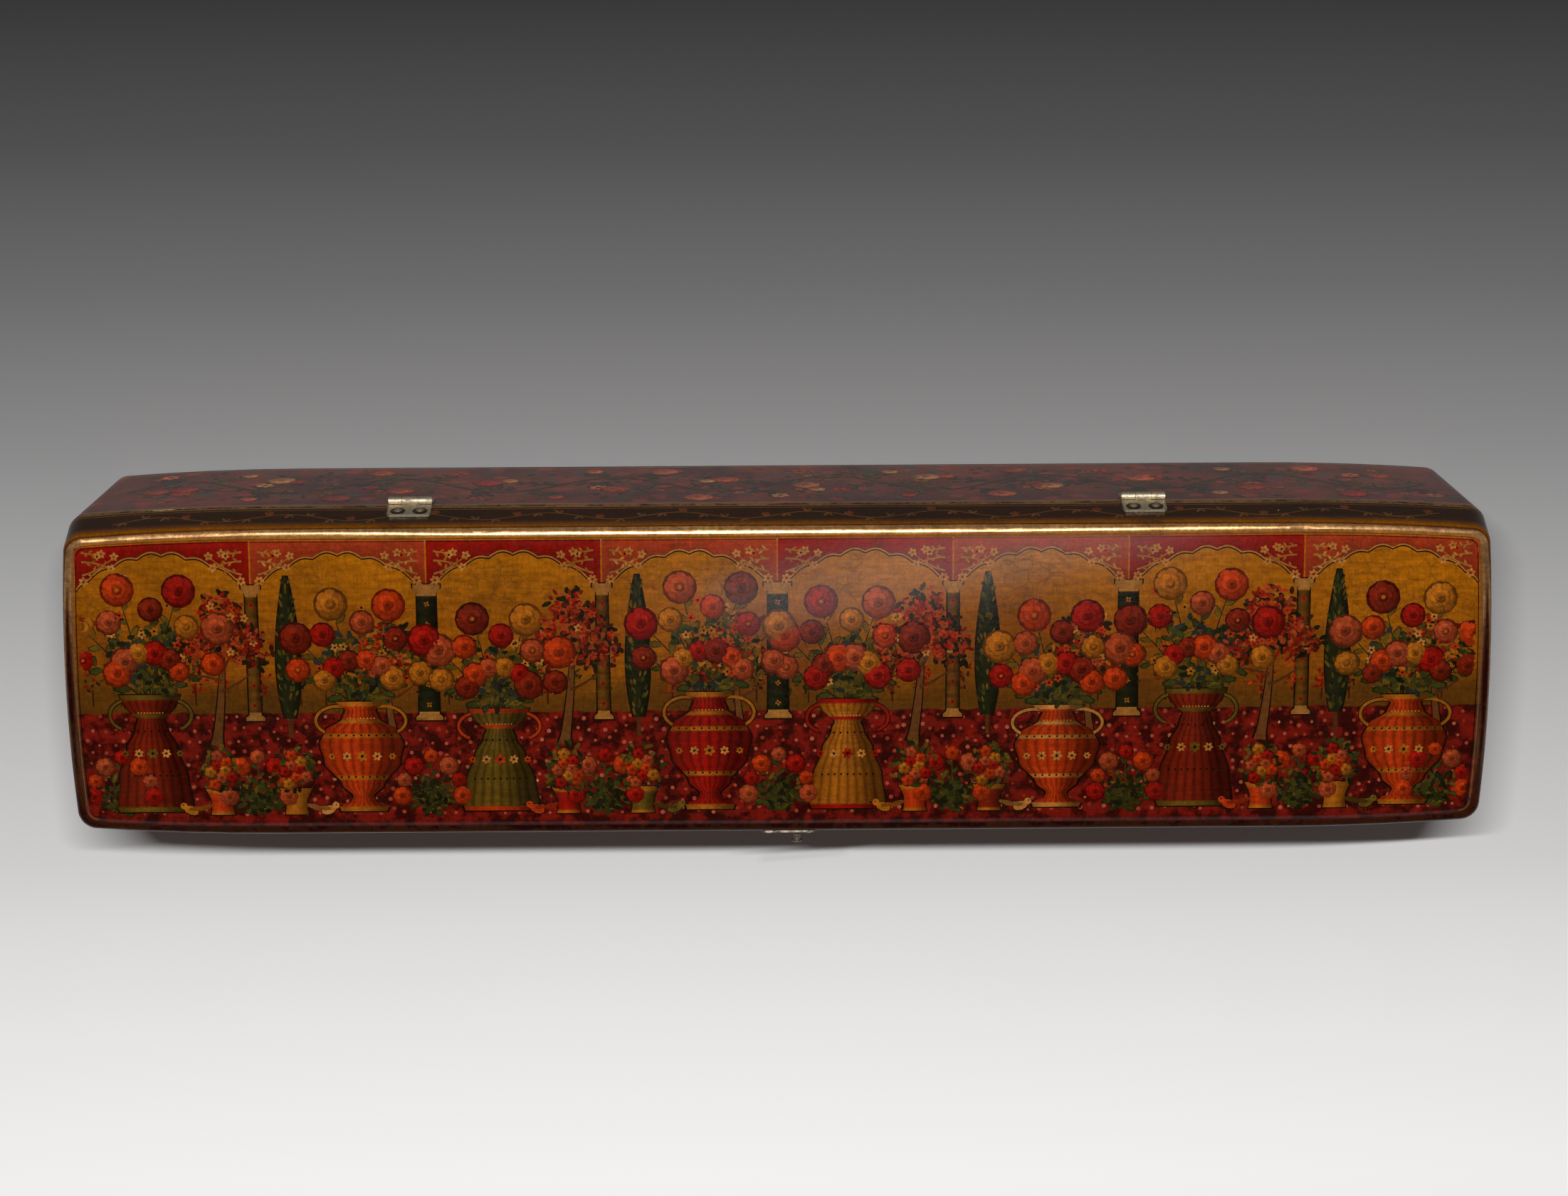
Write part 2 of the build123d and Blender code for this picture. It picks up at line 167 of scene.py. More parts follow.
def settings():
    scene = bpy.context.scene
    return scene.pen_box_lacquer, scene.pen_box_paint, scene.pen_box_studio


# Node helpers


class Field:
    """What a node puts out. Sums and products of fields become nodes of the same tree."""

    def __init__(self, socket):
        self.socket, self.tree = socket, socket.id_data

    def __add__(self, other):
        return maths("ADD", self, other)

    def __sub__(self, other):
        return maths("SUBTRACT", self, other)

    def __rsub__(self, other):
        return maths("SUBTRACT", other, self)

    def __mul__(self, other):
        return maths("MULTIPLY", self, other)

    def __truediv__(self, other):
        return maths("DIVIDE", self, other)

    def __abs__(self):
        return maths("ABSOLUTE", self)

    def over(self, low, high, start=0.0, end=1.0):
        """Maps a range of the field onto another, softly and within its limits."""
        made = put(
            self.tree, "ShaderNodeMapRange", {"interpolation_type": "SMOOTHSTEP"},
            Value=self, From_Min=low, From_Max=high, To_Min=start, To_Max=end,
        )
        return Field(made.outputs["Result"])

    def between(self, low, high, soft, share=1.0):
        """A mask of the values from low to high, with soft edges."""
        return self.over(low - soft, low + soft) * self.over(high - soft, high + soft, share, 0)


def wire(node, **inputs):
    """Links or sets a node's inputs by name, with spaces as underscores, or as i0, i1 and so on."""
    for key, value in inputs.items():
        numbered = key[0] == "i" and key[1:].isdigit()
        socket = node.inputs[int(key[1:]) if numbered else key.replace("_", " ")]
        if isinstance(value, Field):
            value.tree.links.new(value.socket, socket)
        else:
            socket.default_value = value
    return node


def put(tree, kind, settings=None, **inputs):
    """Adds a node with its settings and inputs."""
    made = tree.nodes.new(kind)
    for key, value in (settings or {}).items():
        setattr(made, key, value)
    return wire(made, **inputs)


def fields(node):
    """All that a node puts out, by name."""
    return {socket.name: Field(socket) for socket in node.outputs}


def maths(operation, *values, clamp=False):
    """One operation on fields and plain numbers."""
    tree = next(v.tree for v in values if isinstance(v, Field))
    numbered = {f"i{n}": value for n, value in enumerate(values)}
    made = put(tree, "ShaderNodeMath", {"operation": operation, "use_clamp": clamp}, **numbered)
    return Field(made.outputs[0])


def vectors(operation, place, **inputs):
    made = put(place.tree, "ShaderNodeVectorMath", {"operation": operation}, i0=place, **inputs)
    return Field(made.outputs[0])


def mixed(factor, first, second, blend="MIX"):
    """The first colour, turned into the second as far as the factor says."""
    tree = next(v.tree for v in (factor, first, second) if isinstance(v, Field))
    kind = {"data_type": "RGBA", "blend_type": blend, "clamp_factor": True}
    return Field(put(tree, "ShaderNodeMix", kind, i0=factor, i6=first, i7=second).outputs[2])


def grey(value):
    return Field(put(value.tree, "ShaderNodeCombineColor", i0=value, i1=value, i2=value).outputs[0])


def parts(place):
    """X, Y and Z of a place."""
    return list(fields(put(place.tree, "ShaderNodeSeparateXYZ", Vector=place)).values())


def noise(place, scale, detail=3.0, stretch=None, roughness=0.5, output="Fac"):
    if stretch:
        place = vectors("MULTIPLY", place, i1=stretch)
    look = {"Scale": scale, "Detail": detail, "Roughness": roughness}
    return Field(put(place.tree, "ShaderNodeTexNoise", Vector=place, **look).outputs[output])


def cells(place, scale, feature="F1", stretch=None):
    """Cells of a pattern: each one's distance and, for their insides, its red and green."""
    if stretch:
        place = vectors("MULTIPLY", place, i1=stretch)
    made = fields(put(place.tree, "ShaderNodeTexVoronoi", {"feature": feature}, Vector=place, Scale=scale))
    if feature != "F1":
        return made["Distance"]
    picks = fields(put(place.tree, "ShaderNodeSeparateColor", i0=made["Color"]))
    return made["Distance"], picks["Red"], picks["Green"]


def fresh_material(name):
    """A material with a bare shader, and its object coordinates in millimetres."""
    material = bpy.data.materials.new(name)
    material.use_nodes = True
    tree = material.node_tree
    tree.nodes.clear()
    shader = put(tree, "ShaderNodeBsdfPrincipled")
    put(tree, "ShaderNodeOutputMaterial", Surface=Field(shader.outputs["BSDF"]))
    where = Field(put(tree, "ShaderNodeTexCoord").outputs["Object"])
    return material, vectors("SCALE", where, Scale=1000.0), shader


def new_group(name, inputs, outputs):
    """A node group, whose inputs are a vector if they have no value and a colour if they have four."""
    group = bpy.data.node_groups.new(name, "ShaderNodeTree")
    for label, value in inputs.items():
        kind = "Vector" if value is None else "Color" if isinstance(value, tuple) else "Float"
        socket = group.interface.new_socket(label, in_out="INPUT", socket_type="NodeSocket" + kind)
        if value is not None:
            socket.default_value = value
    for label in outputs:
        kind = "Color" if label == "Colour" else "Float"
        group.interface.new_socket(label, in_out="OUTPUT", socket_type="NodeSocket" + kind)
    return fields(group.nodes.new("NodeGroupInput")), group.nodes.new("NodeGroupOutput")


def use_group(place, name, **inputs):
    group = {"node_tree": bpy.data.node_groups[name]}
    return fields(put(place.tree, "ShaderNodeGroup", group, Place=place, **inputs))


def build_varnish_group():
    """Old varnish: a colour comes in and leaves mottled, crazed and nicked, with its height and roughness."""
    given, out = new_group(
        "Old varnish",
        {"Place": None, "Colour": (0.5, 0.5, 0.5, 1), "Crazing": 0.5, "Grime": 0.5, "Dullness": 0.0},
        ("Colour", "Height", "Roughness"),
    )
    place = given["Place"]
    bent = vectors("MULTIPLY_ADD", noise(place, 0.18, output="Color"), i1=(5, 5, 5), i2=place)
    broad = noise(place, 0.03, 4)
    fine = noise(place, 0.9, 6, roughness=0.65)
    streak = noise(place, 0.35, 5, (0.15, 1, 1))
    # Fine crazing where the varnish has dried, and longer cracks along the box
    lines = cells(bent, 0.34, "DISTANCE_TO_EDGE").over(0.02, 0.055, 1, 0) * broad.over(0.42, 0.6)
    small = cells(bent, 0.95, "DISTANCE_TO_EDGE").over(0.03, 0.09, 0.5, 0) * broad.over(0.6, 0.42)
    long = cells(bent, 0.16, "DISTANCE_TO_EDGE", (0.22, 1, 1)).over(0.006, 0.02, 1, 0)
    long = long * streak.over(0.45, 0.6)
    cracks = maths("MAXIMUM", maths("MAXIMUM", lines, small), long)
    cracks = maths("MULTIPLY", cracks, given["Crazing"], clamp=True)
    mottle = fine.over(0.25, 0.75, 0.78, 1.16) + streak.over(0.3, 0.7, -0.07, 0.07)
    for stretch in ((3.2, 0.22, 1), (0.1, 2.4, 2.4)):
        mottle = mottle * noise(place, 0.9, 4, stretch, 0.6).over(0.3, 0.7, 0.9, 1.1)
    aged = mixed(1.0, given["Colour"], grey(mottle), "MULTIPLY")
    aged = mixed(noise(place, 0.06, 5).over(0.45, 0.75) * given["Grime"], aged, GRIME)
    aged = mixed(cracks * 0.42, aged, CRACK)
    # Nicks down to the pale ground
    distance, pick, _ = cells(bent, 0.075)
    nick = distance.over(0.012, 0.028, 1, 0) * pick.over(0.6, 0.63)
    rough = fine.over(0.3, 0.8, 0.1, 0.17) + (given["Dullness"] + cracks * 0.06)
    wire(out, Colour=mixed(nick, aged, NICK), Height=fine * 0.25 - (cracks + nick), Roughness=rough)


def build_wear_group():
    """Wear along an edge that runs at one height."""
    given, out = new_group(
        "Edge wear", {"Place": None, "Level": 0.0, "Reach": 1.0, "Amount": 0.5}, ("Mask",)
    )
    away = abs(parts(given["Place"])[2] - given["Level"])
    near = maths("SUBTRACT", 1.0, away / given["Reach"], clamp=True)
    worn = (near * 0.42 + noise(given["Place"], 0.22, 7, roughness=0.7)).over(0.78, 0.86)
    wire(out, Mask=maths("MULTIPLY", worn, given["Amount"], clamp=True))


def build_tarnish_group():
    """Tarnish, dirt and rubbing on small metal parts."""
    given, out = new_group(
        "Tarnish",
        {"Place": None, "Metal": (0.5, 0.4, 0.3, 1), "Dirt": (0.03, 0.02, 0.015, 1), "Amount": 0.5},
        ("Colour", "Height", "Roughness", "Metal"),
    )
    place, metal = given["Place"], given["Metal"]
    broad, fine = noise(place, 0.5, 5), noise(place, 3.2, 6, roughness=0.7)
    dirt = maths("MULTIPLY", (broad * 0.55 + fine * 0.45).over(0.44, 0.62), given["Amount"], clamp=True)
    tint = mixed(fine.over(0.3, 0.7), metal, mixed(0.45, metal, BROWNED))
    scratch = noise(place, 1.5, 4, (0.2, 6, 6))
    wire(
        out, Colour=mixed(dirt, tint, given["Dirt"]), Height=fine * 0.6 + scratch * 0.4,
        Roughness=scratch.over(0.3, 0.7, 0.42, 0.58) + dirt * 0.25, Metal=1.0 - dirt * 0.75,
    )


def worn_edge(place, level, reach, amount):
    return use_group(place, "Edge wear", Level=level, Reach=reach, Amount=amount)["Mask"]


def finish_lacquer(shader, place, colour, crazing, grime, dull=0.0, coat=0.25, gloss=0.42):
    """Puts the old varnish over a colour and gives the shader its gloss."""
    aged = use_group(place, "Old varnish", Colour=colour, Crazing=crazing, Grime=grime, Dullness=dull)
    relief = put(place.tree, "ShaderNodeBump", Strength=0.05, Distance=0.0002, Height=aged["Height"])
    wire(
        shader, Base_Color=aged["Colour"], Roughness=aged["Roughness"], Coat_Weight=coat,
        Coat_Roughness=0.08, Specular_IOR_Level=gloss, Normal=Field(relief.outputs["Normal"]),
    )


# Each paint's deepest and palest yellowing, and the varnish over it
PAINTS = {
    "Face paint": ((0.88, 0.72, 0.45, 1), (1.0, 0.9, 0.68, 1), (0.75, 0.3)),
    "Side paint": ((1.0, 0.72, 0.45, 1), (1.0, 0.84, 0.62, 1), (0.8, 0.35, 0.2, 0.0, 0.12)),
}


def paint_material(name):
    """Paint under old varnish. Its colour is in the shapes, and the varnish has turned amber."""
    if name in bpy.data.materials:
        return bpy.data.materials[name]
    deep, pale, varnish = PAINTS[name]
    material, place, shader = fresh_material(name)
    painted = Field(put(place.tree, "ShaderNodeAttribute", {"attribute_name": "paint"}).outputs["Color"])
    yellow = mixed(noise(place, 0.03, 3).over(0.35, 0.65), deep, pale)
    finish_lacquer(shader, place, mixed(1.0, painted, yellow, "MULTIPLY"), *varnish)
    return material


def cover(piece, material):
    """Gives a piece one material, in every slot that it has."""
    if not piece.material_slots:
        piece.data.materials.append(material)
    for slot in piece.material_slots:
        slot.material = material


def new_piece(name, shape):
    """Turns a bmesh into an object of its own."""
    mesh = bpy.data.meshes.new(name)
    shape.to_mesh(mesh)
    shape.free()
    piece = bpy.data.objects.new(name, mesh)
    bpy.context.scene.collection.objects.link(piece)
    return piece


# Painting


def face_height(x, y):
    """Height of the lid's crowned face, in millimetres."""
    return TOP - CROWN_ACROSS * (y / FACE_HALF_WIDTH) ** 2 - CROWN_ALONG * (x / HALF_LENGTH) ** 2


def panel_half_width(x):
    return PANEL_WIDTH - SIDE_EASE * max(0.0, (abs(x) - EASE_START) / EASE_RUN) ** 2


def panel_half_length(y):
    return PANEL_LENGTH - END_SAG * (y / FACE_HALF_WIDTH) ** 2


def on_panel(x, y):
    """Whether a point of the face lies inside the border lines."""
    return abs(x) < panel_half_length(y) - 1.5 and abs(y) < panel_half_width(x) - 1.4


def bay_middles(paint):
    """Each arch's number and middle, with the width of an arch."""
    pitch = 2 * ARCADE / paint.bays
    return [(bay, -ARCADE + pitch * (bay + 0.5)) for bay in range(paint.bays)], pitch


def around(x, y, angle, reach, flat=1.0):
    """The point at an angle and a distance from another."""
    return x + math.cos(angle) * reach, y + math.sin(angle) * reach * flat


class PaintLayer:
    """Flat painted shapes in millimetres. The z of a point is its layer until the shapes are laid down."""

    def __init__(self, seed, inside=None):
        self.inside = inside
        self.mesh = bmesh.new()
        self.mesh.verts.layers.float_color.new("paint")
        self.scratch = bpy.data.meshes.new("scratch")
        self.dice = random.Random(seed)

    def pour(self, shape, layer, point):
        """Places and colours a shape's corners by point, and keeps it unless it runs over the border."""
        tones = shape.verts.layers.float_color.new("paint")
        for vertex in shape.verts:
            (x, y), vertex[tones] = point(vertex.co.x, vertex.co.y)
            vertex.co = (x, y, layer)
        if not self.inside or all(self.inside(v.co.x, v.co.y) for v in shape.verts):
            shape.to_mesh(self.scratch)
            self.mesh.from_mesh(self.scratch, face_normals=False, vertex_normals=False)
        shape.free()

    def grid(self, columns, rows, layer, point):
        """A grid whose corners, from -1 to 1 both ways, are placed and coloured by point."""
        shape = bmesh.new()
        bmesh.ops.create_grid(shape, x_segments=columns, y_segments=rows, size=1)
        self.pour(shape, layer, point)

    def spot(self, x, y, layer, colour, radius, sides=6, flat=1.0, turn=0.0):
        shape = bmesh.new()
        turned = Matrix.Translation((x, y, 0)) @ Matrix.Rotation(turn, 4, "Z")
        matrix = turned @ Matrix.Diagonal((radius, radius * flat, 1, 1))
        bmesh.ops.create_circle(shape, cap_ends=True, segments=sides, radius=1, matrix=matrix)
        self.pour(shape, layer, lambda px, py: ((px, py), colour))

    def leaf(self, x, y, layer, colour, length, width, turn):
        """A pointed leaf or petal whose foot is at x, y."""
        middle = around(x, y, turn, length / 2)
        self.spot(*middle, layer, colour, length / 2, 6, width / length * 1.15, turn)

    def ribbon(self, path, width, layer, colour, steps=12, across=1):
        """A band along path(t), width(t) wide."""

        def point(u, s):
            t = (u + 1) / 2
            here = Vector(path(t))
            ahead = Vector(path(min(1, t + 0.01))) - Vector(path(max(0, t - 0.01)))
            ahead = ahead.normalized() if ahead.length > 1e-6 else Vector((1, 0))
            half = width(t) / 2 if callable(width) else width / 2
            return (here.x - ahead.y * half * s, here.y + ahead.x * half * s), colour

        self.grid(steps, across, layer, point)

    def upright(self, x, low, high, half_width, layer, colour, steps=16, across=4):
        """A form that stands up from low to high, as wide as half_width(t) says, coloured by colour(t, s)."""

        def point(s, v):
            t = (v + 1) / 2
            tone = colour(t, s) if callable(colour) else colour
            return (x + s * half_width(t), low + (high - low) * t), tone

        self.grid(across, steps, layer, point)

    def curve_stem(self, x, y, turn, length, bend, layer, colour, width=0.5):
        """A stem that bends as it grows. Returns a function that gives its points."""

        def path(t):
            steps = 6
            px, py = x, y
            for i in range(steps):
                angle = turn + bend * (i + 0.5) / steps * min(1, t)
                px, py = around(px, py, angle, length * t / steps)
            return px, py

        self.ribbon(path, lambda t: width * (1 - 0.6 * t), layer, colour, steps=6)
        return path

    def rose(self, x, y, layer, radius, colour, heart=None, petals=7):
        """A full blossom: outer petals, inner petals, heart and dark creases between them."""
        dice = self.dice
        turn = dice.uniform(0, 6.28)
        self.spot(x, y, layer, toned(colour, 0.28), radius * 1.02, 12, 1, turn)
        rings = ((petals, 0.6, 0.4, 0.95, 0.5), (5, 0.34, 0.36, 1.2, 1.0), (3, 0.13, 0.24, 0.75, 1.5))
        for count, away, size, tone, rank in rings:
            for i in range(count):
                angle = turn + away * 9 + i * math.tau / count
                px, py = around(x, y, angle, radius * away * dice.uniform(0.92, 1.08))
                # Each petal is a dark shape with a lighter one on its upper left, where the blossom is lit.
                lit = tone * (1 + 0.3 * math.cos(angle - 2.2)) * dice.uniform(0.85, 1.1)
                wide, leant = radius * size, angle + 1.57
                self.spot(px, py, layer + rank, toned(colour, tone * 0.5), wide, 8, 0.8, leant)
                px, py = px - radius * 0.05, py + radius * 0.06
                self.spot(px, py, layer + rank + 0.2, toned(colour, lit), wide * 0.84, 8, 0.74, leant)
        self.spot(x, y, layer + 2, heart or toned(colour, 0.35), radius * 0.13, 6)

    def star(self, x, y, layer, radius, colour, heart, petals=5):
        """A small open flower."""
        turn = self.dice.uniform(0, 6.28)
        for i in range(petals):
            tone = toned(colour, self.dice.uniform(0.85, 1.15))
            self.leaf(x, y, layer, tone, radius, radius * 0.55, turn + i * math.tau / petals)
        self.spot(x, y, layer + 0.5, heart, radius * 0.28, 6)

    def sprig(self, x, y, turn, length, layer, stem, green, bloom=None, bend=0.6, leaves=5, size=2.2):
        """A bending stem with leaves on both sides, and a bud or flower at its end."""
        path = self.curve_stem(x, y, turn, length, bend, layer, stem)
        for i in range(leaves):
            t = (i + 0.8) / (leaves + 0.4)
            side = 1 if i % 2 else -1
            angle = turn + bend * t + side * self.dice.uniform(0.6, 1.0)
            big = size * self.dice.uniform(0.8, 1.2) * (1.15 - 0.4 * t)
            self.leaf(*path(t), layer + 0.5, toned(green, 0.45), big * 1.18, big * 0.52, angle)
            self.leaf(*path(t), layer + 1, toned(green, self.dice.uniform(0.8, 1.25)), big, big * 0.36, angle)
        if bloom:
            self.star(*path(1), layer + 1.5, size * 0.95, bloom, toned(bloom, 0.4))
        return path

    def foliage(self, x, y, wide, high, layer, colours, count, size=1.6):
        """A rounded mass of leaves, lighter towards its upper left."""
        dice = self.dice
        for _ in range(count):
            angle, reach = dice.uniform(0, math.tau), math.sqrt(dice.random())
            px, py = x + math.cos(angle) * wide * reach, y + math.sin(angle) * high * reach
            light = 0.85 + 0.25 * (math.sin(angle) - math.cos(angle)) * reach * 0.7
            colour = toned(dice.choice(colours), light * dice.uniform(0.75, 1.25))
            rank, length = layer + dice.random(), size * dice.uniform(0.7, 1.3)
            self.leaf(px, py, rank, colour, length, size * 0.48, dice.uniform(0, 6.28))

    def laid(self, name, surface, body, finish="Face paint"):
        """Lays the shapes on a surface, gives them their thickness and lets them ride on a body."""
        bpy.data.meshes.remove(self.scratch)
        for vertex in self.mesh.verts:
            vertex.co = surface.at(vertex.co)
        self.mesh.normal_update()
        turned = [f for f in self.mesh.faces if f.normal.dot(surface.outward) < 0]
        bmesh.ops.reverse_faces(self.mesh, faces=turned)
        piece = new_piece(name, self.mesh)
        wall = piece.modifiers.new("Thickness", "SOLIDIFY")
        wall.thickness, wall.offset = settings()[1].paint_depth, -1
        cover(piece, paint_material(finish))
        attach(piece, body)
        "lacquer_" + body


class FaceSurface:
    """The lid's crowned face."""

    outward = Vector((0, 0, 1))

    def __init__(self, paint):
        self.lift, self.step = paint.layer_lift, paint.layer_step

    def at(self, point):
        height = face_height(point.x, point.y) * MM + self.lift + self.step * point.z
        return Vector((point.x * MM, point.y * MM, height))


class WallSurface:
    """One of the four sides of a node. Shapes are drawn with x along the side and y up it."""

    def __init__(self, outward, node, paint):
        self.outward = Vector(outward)
        self.along = Vector((-self.outward.y, self.outward.x, 0))
        self.lift, self.step = paint.side_lift, paint.layer_step
        solid = bmesh.new()
        solid.from_mesh(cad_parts[node].data)
        self.tree = BVHTree.FromBMesh(solid)
        solid.free()

    def at(self, point):
        outside = self.outward * 0.4
        start = self.along * point.x * MM + Vector((0, 0, point.y * MM)) + outside
        hit, normal, _, _ = self.tree.ray_cast(start, -self.outward)
        if hit is None:
            raise RuntimeError(f"painted shape runs off the side at {point}")
        return hit + normal * (self.lift + self.step * point.z)


class PENBOX_OT_lacquer(Operator):
    """Gives the body, the lip and the lid their old lacquer"""

    bl_idname = "penbox.lacquer"
    bl_label = "Lacquer the box"

    def execute(self, context):
        lacquer, _, _ = settings()
        for build in (build_varnish_group, build_wear_group, build_tarnish_group):
            build()
        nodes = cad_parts
        cover(nodes["body_shell"], self.body_lacquer(lacquer))
        cover(nodes["lid_shell"], self.lid_lacquer(lacquer))
        cover(nodes["body_lip"], self.inner_lacquer(lacquer))
        return {"FINISHED"}

    def depth(self, place, insets, drop):
        """How deep a point lies behind the outer sides and their round corners, in millimetres."""
        x, y, z = parts(place)
        up = (z - SEAM) * drop
        along, across = abs(x), abs(y)
        # The long sides draw in towards the ends, and the ends are bowed.
        ease = maths("MAXIMUM", along - EASE_START, 0.0) / EASE_RUN
        sag = across / HALF_WIDTH
        lacking = []
        for reach, half, inset, less in (
            (across, HALF_WIDTH, insets[0], ease * ease * SIDE_EASE),
            (along, HALF_LENGTH, insets[1], sag * sag * END_SAG),
        ):
            side = half - up * inset - less
            lacking.append(maths("MAXIMUM", CORNER - (side - reach), 0.0))
        over, beside = lacking
        return CORNER - maths("SQRT", over * over + beside * beside)

    def flowered_ground(self, place, colour):
        """Brown-red ground with darker clouds of leaves and dull red petals."""
        ground = mixed(noise(place, 0.055, 5).over(0.38, 0.62), colour, toned(colour, 0.5))
        distance, hue, pick = cells(place, 0.16)
        hue = mixed(hue.over(0.45, 0.5), PETAL, FADED_LEAF)
        return mixed(distance.over(0.3, 0.42, 1, 0) * pick.over(0.35, 0.4, 0, 0.7), ground, hue)

    def plain(self, place, lacquer):
        """Plain lacquer, with faint strokes of the brush along the box."""
        strokes = noise(place, 0.4, 6, (0.12, 1, 1)).over(0.35, 0.65)
        return mixed(strokes, lacquer.inside, toned(lacquer.inside, 0.7))

    def chip(self, place):
        """A chip in the lid's edge left of the left hinge, down to the pale ground."""
        x, y, z = parts(place)
        ragged = (noise(place, 0.7, 5) - 0.5) * 1.6
        away = abs(x + 155.0) / 5.5 + abs(z - SEAM) / 0.9 + ragged
        return away.over(0.85, 1.0, 1, 0) * y.over(30, 31)

    def body_lacquer(self, lacquer):
        material, place, shader = fresh_material("Body lacquer")
        height = parts(place)[2]
        deep = self.depth(place, FOOT_INSETS, -1 / BODY_HEIGHT)
        ground = self.flowered_ground(place, lacquer.side_red)
        # A gold line and a dark line under the seam, and a dark foot with a gold line
        lines = ((50.3, 50.9, lacquer.gold), (51.2, 52.1, lacquer.band), (2.6, 3.0, lacquer.gold))
        for low, high, colour in lines:
            ground = mixed(height.between(low, high, 0.12), ground, colour)
        ground = mixed(height.over(1.4, 2.4, 1, 0), ground, lacquer.base)
        ground = mixed(worn_edge(place, SEAM, 2.2, 0.75), ground, BARE_BODY)
        ground = mixed(worn_edge(place, 0.6, 3.0, 0.8), ground, BARE_FOOT)
        inner = deep.over(2.2, 2.5) * height.over(1.2, 1.4)
        ground = mixed(inner, ground, self.plain(place, lacquer))
        ground = mixed(height.over(0.03, 0.06, 1, 0), ground, lacquer.base)
        finish_lacquer(shader, place, ground, 0.8, 0.4, 0.2, 0.0, 0.12)
        return material

    def lid_lacquer(self, lacquer):
        material, place, shader = fresh_material("Lid lacquer")
        along, across, height = parts(place)
        deep = self.depth(place, FACE_INSETS, 1 / LID_HEIGHT)
        # Dark band, golden brown towards the seam, with two gold lines near its foot
        ground = mixed(height.over(52.5, 55.5), BAND_FOOT, lacquer.band)
        for low, high, share in ((52.9, 53.4, 0.5), (54.2, 54.45, 0.35)):
            ground = mixed(height.between(low, high, 0.1, share), ground, lacquer.gold)
        # At the hinges' side a painted reflection brightens the band towards the face's gold edge, which is
        # rubbed here and there.
        ground = mixed(height.over(60.5, 65.2) * across.over(-10, 30, 0.12, 1), ground, PAINTED_EDGE_REFLECTION)
        ground = mixed(height.over(64.1, 64.8), ground, toned(lacquer.maroon, 0.6))
        # The gold edge is rubbed here and there, and fades out towards the front: a painted highlight that
        # keeps it gold only on the hinges' side, where the light catches it.
        rubbed_and_lit = noise(place, 0.12, 6, roughness=0.7).over(0.42, 0.62, 1.0, 0.75) * across.over(-34, 24)
        at_end = abs(along).over(176.0, 177.5) * height.over(65.0, 65.6)
        rim = height.between(64.8, 65.9, 0.2) * (rubbed_and_lit * (1.0 - at_end))
        ground = mixed(rim, ground, GOLD_EDGE)
        wire(shader, Metallic=rim * 0.6)
        ground = mixed(worn_edge(place, SEAM, 2.4, 0.8), ground, BARE_LID)
        ground = mixed(worn_edge(place, 65.2, 1.6, 0.3), ground, BARE_FACE)
        ground = mixed(self.chip(place), ground, CHIP)
        inner = deep.over(1.4, 1.7) * height.over(63.9, 64.1, 1, 0)
        ground = mixed(inner, ground, self.plain(place, lacquer))
        finish_lacquer(shader, place, ground, 0.8, 0.35, 0.12, 0.04, 0.06)
        return material

    def inner_lacquer(self, lacquer):
        material, place, shader = fresh_material("Inner lacquer")
        # Painted shade: the lip turns darker below the seam, where it goes down inside the body.
        lip_top, shade = SEAM + 3, parts(place)[2].over(52.3, 52.8, 0.35, 0)
        ground = mixed(worn_edge(place, lip_top, 1.4, 0.9), self.plain(place, lacquer), BARE_LIP)
        finish_lacquer(shader, place, mixed(shade, ground, BLACK), 0.4, 0.35, 0.15, 0.0, 0.25)
        return material


class PENBOX_OT_metal(Operator):
    """Tarnishes the hinges, the catch and their nails"""

    bl_idname = "penbox.metal"
    bl_label = "Tarnish the metal"

    def execute(self, context):
        nail = self.metal("Nail metal", NAIL_METAL, 0.6)
        hinge = self.metal("Hinge metal", HINGE_METAL, 0.5, grooves=True)
        catch = self.metal("Catch metal", CATCH_METAL, 0.85)
        for name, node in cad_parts.items():
            for mark, metal in (("_nail_", nail), ("hinge_", hinge), ("catch_", catch), ("hook", catch)):
                if mark in name:
                    cover(node, metal)
                    break
        return {"FINISHED"}

    def metal(self, name, colour, amount, grooves=False):
        material, place, shader = fresh_material(name)
        worn = use_group(place, "Tarnish", Metal=colour, Dirt=METAL_DIRT, Amount=amount)
        shade = worn["Colour"]
        if grooves:
            shade = mixed(self.ring_grooves(place), shade, GROOVE_DIRT)
        relief = put(place.tree, "ShaderNodeBump", Strength=0.35, Distance=0.0001, Height=worn["Height"])
        wire(
            shader, Base_Color=shade, Roughness=worn["Roughness"], Metallic=worn["Metal"],
            Normal=Field(relief.outputs["Normal"]),
        )
        return material

    def ring_grooves(self, place):
        """Dirt in the ring round each nail of the lid's leaves."""
        x, _, z = parts(place)
        sideways = abs(abs(x) - HINGE_AT) - NAIL_AT
        upward = z - (SEAM + NAIL_UP)
        away = maths("SQRT", sideways * sideways + upward * upward)
        return abs(away - RING_RADIUS).over(0.3, 0.62, 0.9, 0)


